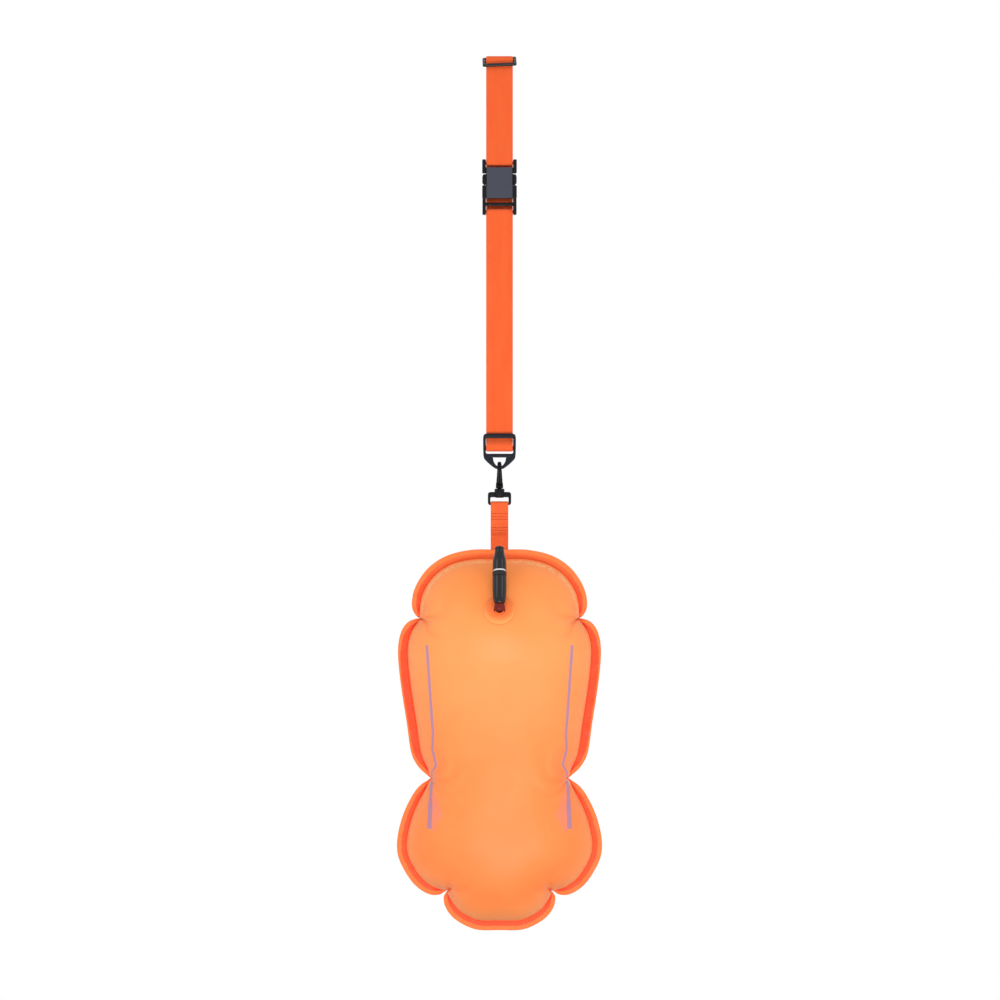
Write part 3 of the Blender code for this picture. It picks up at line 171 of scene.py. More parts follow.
def surface(name, grid, body, paint, replaces=(), wrap=False, uv=None, marks=None, flip=False,
            caps=False, solid=False):
    """A grid of points (rows, columns, 3) as a mesh on a body; wrap closes each row on itself.

    uv is a grid (rows, columns, 2), with one more column where rows wrap; marks are named values a point.
    caps closes the first and last rows, and solid merges a closed shell and turns its faces outwards.
    """
    rows, columns = grid.shape[:2]
    index = np.arange(rows * columns).reshape(rows, columns)
    near, across = index, np.roll(index, -1, axis=1)
    if not wrap:
        near, across = near[:, :-1], across[:, :-1]
    faces = quads_between(near, across, flip).tolist()
    if caps:
        faces += [(end if flip else end[::-1]).tolist() for end in (index[0], index[-1][::-1])]
    mesh = bpy.data.meshes.new(name)
    mesh.from_pydata(grid.reshape(-1, 3).tolist(), [], faces)
    if uv is not None:
        width = uv.shape[1]
        flat = np.arange(rows * width).reshape(rows, width)
        values = uv.reshape(-1, 2)[quads_between(flat[:, :-1], flat[:, 1:], flip).reshape(-1)]
        whole = np.zeros((len(mesh.loops), 2), np.float32)
        whole[:len(values)] = values
        mesh.uv_layers.new(name="along").data.foreach_set("uv", whole.ravel())
    for key, value in (marks or {}).items():
        made = mesh.attributes.new(key, "FLOAT", "POINT")
        made.data.foreach_set("value", np.asarray(value, np.float32).ravel())
    if solid:
        merge(mesh)
        turn_outwards(mesh)
    return put(name, mesh, paint, body, replaces)


def thicken(piece, thickness):
    """Gives a sheet its wall, outwards, as a live modifier."""
    wall = piece.modifiers.new("wall", "SOLIDIFY")
    wall.thickness = thickness
    wall.offset = 1


def resample(path, step, radius):
    """A path of (y, z) points at even steps, with its corners eased over the radius by a running mean."""
    path = np.array(path, float)
    along = np.concatenate([[0], np.cumsum(np.linalg.norm(np.diff(path, axis=0), axis=1))])
    keep = np.concatenate([[True], np.diff(along) > 1e-7])
    path, along = path[keep], along[keep]
    stops = np.linspace(0, along[-1], int(along[-1] / step) + 1)
    line = np.column_stack([np.interp(stops, along, path[:, k]) for k in (0, 1)])
    reach = int(radius / step)
    weights = np.hanning(2 * reach + 3)[1:-1]
    weights /= weights.sum()
    padded = np.vstack([2 * line[0] - line[reach:0:-1], line, 2 * line[-1] - line[-2:-reach - 2:-1]])
    return np.column_stack([np.convolve(padded[:, k], weights, mode="valid") for k in (0, 1)])


def arc(centre, radius, start, end, count=12):
    """Points of (y, z) round a centre, by angle in degrees from +Y towards +Z."""
    turn = np.radians(np.linspace(start, end, count + 1))
    return [(centre[0] + radius * math.cos(a), centre[1] + radius * math.sin(a)) for a in turn]


def ease(start, end, count=10):
    """An S-bend of (y, z) points: y moves by 3s2 - 2s3 while z moves evenly."""
    steps = np.linspace(0, 1, count + 1)
    return [(start[0] + (end[0] - start[0]) * (3 * s * s - 2 * s ** 3), start[1] + (end[1] - start[1]) * s)
            for s in steps]


def level_line(across, height):
    """Points of (x, z) at one height."""
    return np.column_stack([across, np.full(len(across), height)])


def upright_line(across, heights):
    """Points of (x, z) at one distance across."""
    return np.column_stack([np.full(len(heights), across), heights])


def flow(way, steps=10, closed=False):
    """A smooth line through points, which weighs four at a time by the Catmull-Rom cubic."""
    way = np.array(way, float)
    if closed:
        ends = np.vstack([way[-1:], way, way[:2]])
    else:
        ends = np.vstack([2 * way[0] - way[1], way, 2 * way[-1] - way[-2]])
    s = np.linspace(0, 1, steps, endpoint=False)[:, None]
    pieces = [0.5 * (2 * start + (end - before) * s + (2 * before - 5 * start + 4 * end - after) * s ** 2
                     + (3 * start - before - 3 * end + after) * s ** 3)
              for before, start, end, after in zip(ends, ends[1:], ends[2:], ends[3:])]
    return np.vstack([*pieces, way[:1] if closed else way[-1:]])


def bar(name, outer, inner, thick, at, body, paint, slot, closed=False, square=3.2, replaces=()):
    """A moulded bar between two matching lines of (x, z), set at y and z.

    Its section is |q|^n + |h|^n = 1, q running from the inner to the outer line and h through the thickness.
    """
    turn = np.linspace(0, WHOLE_TURN, BAR_SIDES, endpoint=False)
    q, h = (np.sign(side) * np.abs(side) ** (2 / square) for side in (np.cos(turn), np.sin(turn)))
    outer, inner = np.array(outer), np.array(inner)
    flat = (outer + inner)[:, None] / 2 + (outer - inner)[:, None] / 2 * q[None, :, None]
    deep = np.broadcast_to(h * thick / 2, flat.shape[:2])
    grid = np.stack([flat[..., 0], at[0] + deep, at[1] + flat[..., 1]], axis=-1)
    return surface(name, grid, body, paint, replaces, wrap=True, caps=not closed, solid=True)


def strap(name, path, width, thick, ribs, body, paint, replaces, step=0.0014):
    """Webbing along a path: a flat section with round edges and fine lengthwise ribs, closed at both ends.

    The section's half thickness at a share q of the half width is (1 - |q|^14)^(1/2) of the full one, and
    a raised cosine lowers it by RIB_DEPTH of itself between the ribs. The middle line comes back too.
    """
    line = resample(path, step, STRAP_BEND)
    tangent = np.gradient(line, axis=0)
    tangent /= np.linalg.norm(tangent, axis=1)[:, None]
    normal = np.column_stack([-tangent[:, 1], tangent[:, 0]])
    q = np.cos(np.linspace(0, math.pi, ribs * 6 + 1))
    rib = RIB_DEPTH * (0.5 - 0.5 * np.cos(math.pi * ribs * (q + 1)))
    high = np.sqrt(np.clip(1 - np.abs(q) ** 14, 0, 1)) * (1 - RIB_DEPTH + rib)
    side = np.concatenate([q, q[-2:0:-1]]) * width / 2
    lift = np.concatenate([high, -high[-2:0:-1]]) * thick / 2
    grid = np.empty((len(line), len(side), 3))
    grid[..., 0] = side
    grid[..., 1:] = line[:, None] + normal[:, None] * lift[:, None]
    along = np.arange(len(line)) * step
    uv = np.stack(np.broadcast_arrays(np.append(side, side[0])[None, :], along[:, None]), axis=-1)
    return surface(name, grid, body, paint, replaces, wrap=True, uv=uv, caps=True, flip=True), line


# Materials

def linear(colour):
    """Colour bytes as the linear values that a shader wants."""
    share = np.array(colour) / 255
    return tuple(np.where(share <= 0.04045, share / 12.92, ((share + 0.055) / 1.055) ** 2.4)) + (1.0,)


class Finish:
    """A Principled material that is being wired, with short calls for the nodes that the finishes share."""

    def __init__(self, name, colour, roughness, **sockets):
        self.made = bpy.data.materials.new(name)
        self.made.use_nodes = True
        self.tree = self.made.node_tree
        self.shader = self.tree.nodes["Principled BSDF"]
        self.shader.inputs["Base Color"].default_value = linear(colour)
        self.shader.inputs["Roughness"].default_value = roughness
        for key, value in sockets.items():
            self.shader.inputs[key.replace("_", " ")].default_value = value

    def add(self, kind, inputs=(), **settings):
        made = self.tree.nodes.new("ShaderNode" + kind)
        for key, value in settings.items():
            setattr(made, key, value)
        for key, value in dict(inputs).items():
            self.feed(value, made.inputs[key])
        return made

    def feed(self, value, socket):
        if isinstance(value, bpy.types.NodeSocket):
            self.tree.links.new(value, socket)
        else:
            socket.default_value = value

    def math(self, operation, first, second=0.0, clamp=False):
        return self.add("Math", {0: first, 1: second}, operation=operation, use_clamp=clamp).outputs[0]

    def times(self, product, *others):
        """The product of two or more values."""
        for other in others:
            product = self.math("MULTIPLY", product, other)
        return product

    def less(self, first, second):
        return self.math("SUBTRACT", first, second)

    def object_place(self):
        return self.add("TexCoord").outputs["Object"]

    def place(self, axis):
        """One of the object's own coordinates, X, Y or Z."""
        return self.add("SeparateXYZ", {0: self.object_place()}).outputs[axis]

    def mark(self, name):
        return self.add("Attribute", attribute_name=name).outputs["Fac"]

    def far(self, centre):
        """How far each place is from a centre."""
        ends = {0: self.object_place(), 1: centre}
        return self.add("VectorMath", ends, operation="DISTANCE").outputs["Value"]

    def noise(self, scale, detail=3.0, at=None):
        made = self.add("TexNoise", {"Scale": scale, "Detail": detail, "Vector": at or self.object_place()})
        return made.outputs["Fac"]

    def cells(self, scale):
        """How far each place is from the middle of its small round cell."""
        made = self.add("TexVoronoi", {"Scale": scale, "Vector": self.object_place()})
        return made.outputs["Distance"]

    def stretched(self, across, along, detail):
        """Noise over two values, each already scaled by how fine it is to be that way."""
        where = self.add("CombineXYZ", {0: across, 1: along})
        return self.noise(1.0, detail, where.outputs[0])

    def ramp(self, value, low, high, start=0.0, end=1.0):
        """value carried evenly from low..high to start..end, and held at both ends."""
        return self.add("MapRange", {0: value, 1: low, 2: high, 3: start, 4: end}, clamp=True).outputs[0]

    def blend(self, share, first, second):
        made = self.add("Mix", data_type="RGBA")
        for socket, value in ((made.inputs[0], share), (made.inputs[6], first), (made.inputs[7], second)):
            self.feed(linear(value) if isinstance(value, tuple) else value, socket)
        return made.outputs[2]

    def colour(self, value):
        self.feed(value, self.shader.inputs["Base Color"])

    def roughness(self, value):
        self.feed(value, self.shader.inputs["Roughness"])

    def bump(self, height, distance, strength):
        """Raises the surface by height, on top of any bump wired before."""
        before = self.shader.inputs["Normal"].links
        made = self.add("Bump", {"Height": height, "Distance": distance, "Strength": strength})
        if before:
            self.tree.links.new(before[0].from_socket, made.inputs["Normal"])
        self.tree.links.new(made.outputs[0], self.shader.inputs["Normal"])


def webbing(name, colour, shade, warp, weft):
    """Woven tape on its own UV in metres: warp ribs across u, weft crossings along v, painted shade in
    the weave's valleys, darker streaks at random, worn a little paler.
    """
    made = Finish(name, colour, 0.72, Sheen_Weight=0.25, Sheen_Roughness=0.4, Specular_IOR_Level=0.3)
    split = made.add("SeparateXYZ", {0: made.add("UVMap", uv_map="along").outputs[0]})
    across, along = split.outputs[0], split.outputs[1]
    shift = made.times(made.math("SINE", made.times(across, WHOLE_TURN / warp)), 0.35)
    ridge = made.math("SINE", made.math("ADD", made.times(across, 2 * WHOLE_TURN / warp), shift))
    cross = made.math("SINE", made.math("ADD", made.times(along, WHOLE_TURN / weft),
                                        made.times(across, WHOLE_TURN / warp)))
    weave = made.math("ADD", made.times(ridge, 0.5), made.times(cross, 0.5))
    patchy = made.stretched(made.times(across, 90.0), made.times(along, 14.0), 4.0)
    fine = made.noise(900.0, 2.0)
    # Painted shade in the weave's valleys, and darker streaks at random from the stretched noise.
    depth = made.math("ADD", made.ramp(weave, -1.0, 0.6, 0.55, 0.0), made.ramp(patchy, 0.35, 0.7, 0.3, 0.0),
                      True)
    worn = tuple(min(255, part + 26) for part in colour)
    made.colour(made.blend(made.ramp(fine, 0.55, 0.8, 0.0, 0.25), made.blend(depth, colour, shade), worn))
    made.bump(weave, 0.00016, 0.7)
    made.bump(fine, 0.00008, 0.5)
    return made.made


def moulded(name, colour, roughness, grain=1400.0, depth=0.00003, worn=None, **sockets):
    """Moulded plastic: a fine grain in its surface, and a patchy roughness from handling."""
    made = Finish(name, colour, roughness, **sockets)
    made.roughness(made.ramp(made.noise(60.0, 4.0), 0.3, 0.75, roughness * 0.8, min(1.0, roughness * 1.35)))
    if worn:
        made.colour(made.blend(made.ramp(made.noise(240.0, 5.0), 0.52, 0.8, 0.0, 0.6), colour, worn))
    made.bump(made.noise(grain, 2.0), depth, 0.6)
    return made.made


def buckle_finish():
    """Black acetal, with the socket's flat front plate in a matte slate grain."""
    made = Finish("buckle_acetal", (24, 24, 27), 0.28, Specular_IOR_Level=0.18)
    x, y, z = (made.place(axis) for axis in "XYZ")
    plate = made.times(made.math("LESS_THAN", made.math("ABSOLUTE", x), PLATE_HALF),
                       made.math("LESS_THAN", y, PLATE_FACE),
                       made.math("LESS_THAN", z, PLATE_TOP), made.math("GREATER_THAN", z, PLATE_FOOT))
    grain = made.noise(2600.0)
    slate = made.blend(made.ramp(grain, 0.3, 0.7), (60, 63, 73), (74, 77, 88))
    black = made.blend(made.ramp(made.noise(300.0, 4.0), 0.5, 0.8), (14, 14, 17), (34, 34, 38))
    made.colour(made.blend(plate, black, slate))
    made.roughness(made.ramp(plate, 0.0, 1.0, 0.26, 0.62))
    made.bump(made.times(grain, plate), 0.00008, 0.6)
    made.bump(made.noise(900.0, 2.0), 0.00002, 0.5)
    return made.made


def neck_finish(ball):
    """Dark red vinyl, with painted shade in black where the ball dips into its socket."""
    made = Finish("neck_vinyl", (84, 11, 9), 0.42, Specular_IOR_Level=0.25)
    # Painted shade: black on the ball's foot, in its socket's shadow.
    low = made.ramp(made.place("Z"), ball[2] - 0.0062, ball[2] - 0.0038, 1.0, 0.0)
    red = made.blend(made.ramp(made.noise(240.0, 4.0), 0.45, 0.8), (104, 14, 10), (132, 26, 18))
    made.colour(made.blend(low, red, (14, 7, 8)))
    made.bump(made.noise(900.0, 2.0), 0.00005, 0.6)
    return made.made


def up_the_seat(centre, reach):
    """A place that lies up the valve seat's slope from its centre."""
    return centre[0], centre[1] + reach * math.sin(SEAT_TILT), centre[2] + reach * math.cos(SEAT_TILT)


def disc_paint(made, colour):
    """The round weld mark about the valve, over a colour: deepest in its middle, and soft at its edge."""
    far = made.far(up_the_seat(seat_centre(), 0.0052))
    disc = made.blend(made.ramp(far, 0.009, 0.020), (255, 114, 53), (255, 135, 66))
    return made.blend(made.ramp(far, 0.0175, 0.0222, 0.9, 0.0), colour, disc)


def flange_finish(centre):
    """The weld disc: orange as the sheet is, deeper at its middle, with painted shade in black round the
    socket, and red in it.
    """
    made = Finish("flange_film", (254, 140, 80), 0.5, Specular_IOR_Level=0.28)
    far, grain = made.far(centre), made.noise(500.0)
    sheet = made.blend(made.ramp(grain, 0.4, 0.7, 0.0, 0.3), (255, 158, 84), (255, 164, 96))
    hole = made.math("MAXIMUM", made.far(up_the_seat(centre, 0.0032)), made.math("ADD", far, 0.0005))
    # Painted shade: a black ring round the socket, centred above its middle so that it shows below the ball.
    rim = made.blend(made.ramp(hole, 0.0083, 0.0088), (22, 8, 8), disc_paint(made, sheet))
    made.colour(made.blend(made.ramp(hole, 0.0070, 0.0076), (112, 14, 12), rim))
    rings = made.math("SINE", made.times(far, WHOLE_TURN / 0.0011))
    made.bump(made.times(rings, made.ramp(far, 0.0165, 0.0175)), 0.00008, 0.5)
    made.bump(grain, 0.0001, 0.4)
    return made.made


def panel_colour(made, out, z, cloud):
    """The panel's film, palest below the valve, with painted shade in its creases and round the valve,
    painted light on the steep film beside the weld, and a painted highlight: a pale crinkled line at its
    weld.
    """
    heights = made.add("ValToRGB", {0: made.ramp(z, BUOY_Z - BUOY_LENGTH, BUOY_Z)})
    stops = heights.color_ramp.elements
    for position, colour in PANEL_STOPS[1:-1]:
        stops.new(position)
    for stop, (position, colour) in zip(stops, PANEL_STOPS):
        stop.position, stop.color = position, linear(colour)
    # Painted light: lighter beside the weld, against the shade on the steep film there.
    body = made.blend(made.ramp(out, 1.0, 1.12, 0.5, 0.0), heights.outputs[0], (255, 152, 84))
    # Painted light: lighter still on the steep film at the foot, which faces down.
    foot_painted_light = made.times(made.ramp(out, 1.0, 1.22, 1.0, 0.0), made.ramp(z, -1.19, -1.10, 1.0, 0.0))
    body = made.blend(foot_painted_light, body, (255, 149, 80))
    # Painted shade in the folds' valleys, at the notches and along the waist's ripples.
    body = made.blend(made.math("MULTIPLY", made.mark("fold_shade"), 0.75, True), body, (253, 118, 58))
    # Painted shade: a deeper orange round the valve.
    body = made.blend(made.ramp(made.far(VALVE_SHADE_MIDDLE), 0.03, 0.10, 0.6, 0.0), body, (255, 141, 64))
    body = made.blend(made.ramp(cloud, 0.35, 0.75, 0.0, 0.12), body, (255, 184, 122))
    # Painted highlight: a pale crinkled line beside the weld, strongest on the top lobe.
    beside_weld = made.ramp(made.math("ABSOLUTE", made.less(out, 1.024)), 0.0, 0.022, 1.0, 0.0)
    crinkle = made.ramp(made.noise(210.0, 4.0), 0.42, 0.62)
    pale = made.times(beside_weld, crinkle, made.ramp(z, -0.80, -0.76, 0.25, 0.8))
    return made.blend(pale, body, (255, 200, 138))


def rim_colour(made, out):
    """The rim's film: orange, paler at its cut edge, and redder towards the weld where its marks say so, that
    red partly the film's deeper colour and partly painted shade in the groove beside the weld.
    """
    rim = made.blend(made.ramp(made.noise(420.0), 0.35, 0.7), (251, 119, 55), (252, 128, 60))
    rim = made.blend(made.ramp(out, 0.0, 0.07, 0.55, 0.0), rim, (255, 150, 92))
    patchy = made.noise(260.0)
    # Painted shade in part: the red band beside the weld is also the film's deeper colour.
    deeper = made.blend(made.ramp(patchy, 0.35, 0.7), (251, 72, 33), (251, 85, 39))
    torn = made.math("ADD", made.mark("deep"), made.times(made.less(patchy, 0.5), 0.8))
    rim = made.blend(made.times(made.ramp(torn, 0.38, 0.62), made.mark("red")), rim, deeper)
    # Painted shade: darker red at the band's ends beside each notch.
    rim = made.blend(made.mark("band_end_shade"), rim, (222, 40, 22))
    # Painted shade: darker red right at the weld.
    return made.blend(made.ramp(out, 0.93, 0.99, 0.0, 0.45), rim, (240, 74, 38))


def stripe_middle(made, z):
    """How far from the centre line the stripes run, by height, in straight stretches."""
    middle = made.add("FloatCurve", {1: made.ramp(z, *STRIPE_RANGE)})
    points = middle.mapping.curves[0].points
    for end, (position, across) in zip(points, (STRIPE_MIDDLES[0], STRIPE_MIDDLES[-1])):
        end.location = (position, across * CURVE_SCALE)
    for position, across in STRIPE_MIDDLES[1:-1]:
        points.new(position, across * CURVE_SCALE)
    for point in points:
        point.handle_type = "VECTOR"
    middle.mapping.update()
    return made.times(middle.outputs[0], 1 / CURVE_SCALE)


def side_stripes(made, colour, out, x, z):
    """Over a colour, the two silver stripes down the front, and the pink cast inside the foot of each, which
    widens downwards and closes again at the stripe's end."""
    front, side, middle = made.mark("front"), made.math("ABSOLUTE", x), stripe_middle(made, z)
    broad = made.times(made.ramp(z, -1.010, -1.004, 0.0045, 0.0026), made.mark("level"))
    inward = made.less(made.less(middle, broad), side)
    reach = made.math("MINIMUM", made.ramp(z, -1.051, -1.0057, 0.017, 0.0),
                      made.ramp(z, -1.0766, -1.051, 0.003, 0.017))
    streaks = made.stretched(made.times(x, 700.0), made.times(z, 20.0), 2.0)
    cast = made.times(made.ramp(streaks, 0.3, 0.65, 0.35, 0.9), made.ramp(inward, -0.0004, 0.0004),
                      made.ramp(made.less(reach, inward), 0.0, 0.005), made.ramp(z, -1.0774, -1.0758), front)
    colour = made.blend(cast, colour, (253, 132, 106))
    stripe = made.times(made.math("LESS_THAN", made.math("ABSOLUTE", made.less(side, middle)), broad),
                        made.math("GREATER_THAN", z, STRIPE_FOOT), made.math("LESS_THAN", z, STRIPE_TOP),
                        front, made.ramp(out, 1.018, 1.024))
    silver = made.blend(made.ramp(z, -1.07, -0.83), (186, 131, 150), (214, 150, 168))
    silver = made.blend(made.ramp(made.cells(1500.0), 0.2, 0.6), silver, (178, 126, 146))
    return made.blend(stripe, colour, silver)


def chamber_finish():
    """Welded film, by marks on each point: out is 0 at the cut edge, 1 at the weld and 2 on the spine."""
    made = Finish("chamber_film", (253, 122, 66), 0.5, Specular_IOR_Level=0.28, Sheen_Weight=0.06)
    out, x, z, cloud = made.mark("out"), made.place("X"), made.place("Z"), made.noise(16.0, 4.0)
    ragged = made.times(made.less(made.noise(130.0, 4.0), 0.5), 0.035)
    inside = made.ramp(made.math("ADD", out, made.math("MINIMUM", ragged, 0.0)), 0.985, 1.005)
    film = made.blend(inside, rim_colour(made, out), panel_colour(made, out, z, cloud))
    film = made.blend(made.mark("front"), film, disc_paint(made, film))
    made.colour(side_stripes(made, film, out, x, z))
    made.roughness(made.ramp(inside, 0.0, 1.0, 0.56, 0.48))
    made.bump(cloud, 0.0016, 0.3)
    made.bump(made.noise(1600.0, 2.0), 0.00004, 0.35)
    made.bump(made.times(made.cells(520.0), made.less(1.0, inside)), 0.0002, 0.5)
    return made.made


def refinish(name, paint, width):
    """A CAD node keeps its shape: it gets a better material, its loose triangles are joined by a live
    modifier, and another rounds its sharp edges by a width to catch the light."""
    node = NODES[name]
    node.data.materials.clear()
    node.data.materials.append(paint)
    node.data.polygons.foreach_set("material_index", np.zeros(len(node.data.polygons), np.int32))
    weld = node.modifiers.new("joined", "WELD")
    weld.merge_threshold = 0.00001
    if width:
        edge = node.modifiers.new("rounded", "BEVEL")
        edge.width = width
        edge.segments = 3
        edge.limit_method = "ANGLE"
        edge.angle_limit = math.radians(35)
        edge.harden_normals = True
    node.data.shade_smooth()


# Webbing

def belt_path():
    """The whole belt as (y, z): male bar, up the front, over the crown, down the back, round the ring, to
    the female bar."""
    front, back = -BELT_APART / 2, BELT_APART / 2
    wrap = BAR_THICK / 2 + GAP + BELT_THICK / 2
    bar_front, bar_back = -BUCKLE_FORWARD - wrap, -BUCKLE_FORWARD + wrap
    upper_bar, lower_bar = -BUCKLE_DROP - MALE_BAR_AT, -BUCKLE_DROP - END_BAR_AT
    crown, ring = -(BELT_APART + BELT_THICK) / 2, -RING_DROP
    fold = RING_BAR_RADIUS + GAP + BELT_THICK / 2
    behind = RING_THICK / 2 + GAP + BELT_THICK / 2
    further = behind + BELT_THICK + 2 * GAP
    ring_top = ring + RING_TOP + 2 * GAP
    ring_under = ring + RING_TOP - RING_TOP_BAR - BELT_THICK / 2
    path = [(bar_back, upper_bar + BELT_TAIL)]
    path += arc((-BUCKLE_FORWARD, upper_bar), wrap, 360, 180)
    path += ease((bar_front, upper_bar), (front, upper_bar + UPPER_LEAD))
    path += arc((0, crown), BELT_APART / 2, 180, 0)
    path += ease((back, ring_top + RING_LEAD), (further, ring_top))
    path += ease((further, ring_under), (fold, ring + BELT_THICK))
    path += arc((0, ring), fold, 360, 180)
    path += ease((-fold, ring + BELT_THICK), (behind, ring_under))
    path += ease((behind, ring_top), (front, ring_top + RING_LEAD))
    path += ease((front, lower_bar - LOWER_LEAD), (bar_front, lower_bar))
    path += arc((-BUCKLE_FORWARD, lower_bar), wrap, 180, 0)
    return path + [(bar_back, lower_bar - BELT_TAIL)]


def dress_belt():
    paint = webbing("belt_webbing", (251, 108, 45), (244, 80, 30), 0.0011, 0.0009)
    belt = ("belt_upper_front", "belt_crown", "belt_back", "belt_ring_fold", "belt_lower_front")
    strap("belt_strap", belt_path(), BELT_WIDTH, BELT_THICK, 11, "belt", paint, belt)


def stitches(name, rows, lay, paint, length=0.0021, thread=0.00034):
    """Stitches across the leash: each a capsule, fat in its middle, that dips into the webbing at both ends.

    At a share s of its half length its radius is (1 - s^4)^(1/2) of the thread's. rows are (x, y, z) middles,
    and lay is the outward side, -1 for the front and 1 for the back.
    """
    turns, steps = 8, 5
    share = np.linspace(-1, 1, steps)
    angle = np.linspace(0, WHOLE_TURN, turns, endpoint=False)
    fat = thread * np.sqrt(np.clip(1 - (share[:, None] * 0.97) ** 4, 0, 1))
    run = share[:, None] * length / 2 * np.ones(turns)
    out = lay * (thread * 0.35 * (1 - share[:, None] ** 2) + fat * np.sin(angle) * 0.8)
    unit = np.stack([run, out, fat * np.cos(angle)], axis=-1)
    points = (np.array(rows)[:, None, None, :] + unit[None]).reshape(-1, 3)
    index = np.arange(steps * turns).reshape(steps, turns)
    quads, ends = quads_between(index, np.roll(index, -1, axis=1)), np.stack([index[0], index[-1][::-1]])
    jump = (np.arange(len(rows)) * steps * turns)[:, None, None]
    faces = (quads[None] + jump).reshape(-1, 4).tolist() + (ends[None] + jump).reshape(-1, turns).tolist()
    mesh = bpy.data.meshes.new(name)
    mesh.from_pydata(points.tolist(), [], faces)
    mesh.validate()
    turn_outwards(mesh)
    put(name, mesh, paint, "leash")


def dress_leash():
    """The leash's strip from its sewn end, over the base's bar and down behind the rim, and its seams."""
    paint = webbing("leash_webbing", (250, 110, 50), (245, 82, 33), 0.0010, 0.0008)
    pressed = LEASH_THICK / 2 + GAP * 0.7
    wrap = BASE_BAR_RADIUS + GAP + LEASH_THICK / 2
    closing, sewn = LEASH_Z - LEASH_CLOSING, LEASH_Z - LEASH_SEWN
    path = [(-pressed, sewn)] + ease((-pressed, closing), (-wrap, LEASH_Z), 4)
    path += arc((0, LEASH_Z), wrap, 180, 0)
    path += ease((wrap, LEASH_Z), (pressed, closing), 4) + [(pressed, sewn)]
    path += ease((pressed, sewn - 0.004), (CREASE_Y, CREASE_Z + LEASH_THICK), 6)
    path += [(CREASE_Y, CREASE_Z - TAB_LENGTH)]
    piece, line = strap("leash_strap", path, LEASH_WIDTH, LEASH_THICK, 7, None, paint,
                        ("leash_webbing", "leash_tab"), step=0.0008)
    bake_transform(piece)
    thread, sunk = moulded("leash_thread", (150, 34, 16), 0.7, 2400.0), LEASH_THICK / 2 * 0.94
    rows = []
    for z in LEASH_SEAMS:
        deep = np.interp(z, line[:40, 1], line[:40, 0]) if z > closing else -pressed
        rows += [(x, deep - sunk, z) for x in np.linspace(-0.0105, 0.0105, 9)]
    stitches("leash_stitches", rows, -1, thread)
    backs = [(x, pressed + sunk, z) for x, y, z in rows if z < closing]
    stitches("leash_back_stitches", backs, 1, thread)


# Air chamber

def outline_half(count):
    """The half outline as evenly spaced (across, up) points, with how far along it they and its notches are.

    A smooth line runs through each lobe's points, and lobes meet in a sharp notch.
    """
    points, notches = [], []
    for lobe in LOBE_SHARES:
        way = np.array(lobe) * (BUOY_WIDTH / 2, -BUOY_LENGTH)
        points.append(flow(way, 24)[:-1])
        notches.append(sum(map(len, points)))
    points = np.vstack([*points, way[-1:]])
    along = np.concatenate([[0], np.cumsum(np.linalg.norm(np.diff(points, axis=0), axis=1))])
    notch_along = along[notches[:-1]]
    stops = np.linspace(0, along[-1], count + 1)
    for place in notch_along:
        stops[np.argmin(abs(stops - place))] = place
    half = np.column_stack([np.interp(stops, along, points[:, 0]), np.interp(stops, along, points[:, 1])])
    return half, stops, notch_along


def near_notches(stops, notches, reach):
    """The sum over the notches of exp(-(way along the outline from the notch / reach)^2)."""
    return sum(np.exp(-((stops - notch) / reach) ** 2) for notch in notches)


def softened(weld, count):
    """The weld line with its notches rounded off, by a running mean along the whole loop."""
    loop = np.vstack([weld, (weld * (-1, 1))[::-1][1:-1]])
    wide = count / 33
    reach = np.arange(-int(4 * wide), int(4 * wide) + 1)
    weights = np.exp(-(reach / (2.5 * wide)) ** 2)
    shifted = (np.roll(loop, shift, axis=0) * w for shift, w in zip(reach, weights / weights.sum()))
    return sum(shifted)[:len(weld)]


def sheet_rings(half, stops, notches, count, inner):
    """Flat rings of a sheet from its cut edge over the weld to the spine.

    Beside them comes out, 0 at the cut edge, 1 at the weld and 2 on the spine, and share, which runs from 1
    at the weld to 0 on the spine.
    """
    spine_top, spine_foot = -SPINE_INSET - RIM_WIDTH, -BUOY_LENGTH + SPINE_INSET + RIM_WIDTH
    target = np.column_stack([np.zeros(len(half)), np.clip(half[:, 1], spine_foot, spine_top)])
    inward = target - half
    inward /= np.linalg.norm(inward, axis=1)[:, None]
    near = near_notches(stops, notches, NOTCH_REACH)
    margin = RIM_WIDTH - (RIM_WIDTH - RIM_AT_NOTCH) * np.minimum(near, 1)
    weld = half + inward * margin[:, None]
    soft = softened(weld, count)
    rim_steps = np.linspace(0, 1, 9)
    shares = 1 - np.linspace(0, 1, inner + 1)[1:] ** 1.6
    rings = [half + (weld - half) * step for step in rim_steps]
    for share in shares:
        calm = min(1.0, (1 - share) * 5)
        line = weld * (1 - calm) + soft * calm
        rings.append(target + (line - target) * share)
    share = np.concatenate([np.ones(len(rim_steps)), shares])[:, None] * np.ones(len(half))
    return np.array(rings), np.concatenate([rim_steps, 2 - shares]), share


def seated(flat, height):
    """The front sheet's height, brought down to the valve's sloping seat by a smooth step, 3s2 - 2s3."""
    seat_y, seat_z = seat()
    plane = -seat_y - SEAM - SHEET - (flat[:, :, 1] - seat_z) * math.tan(SEAT_TILT)
    far = np.hypot(flat[:, :, 0], (flat[:, :, 1] - seat_z) / math.cos(SEAT_TILT))
    blend = np.clip((far - SEAT_FLAT_RADIUS) / SEAT_BLEND, 0, 1)
    blend = blend * blend * (3 - 2 * blend)
    return height + (plane - height) * (1 - blend) * np.minimum(1, SEAT_FLAT_RADIUS / np.maximum(far, 1e-6))


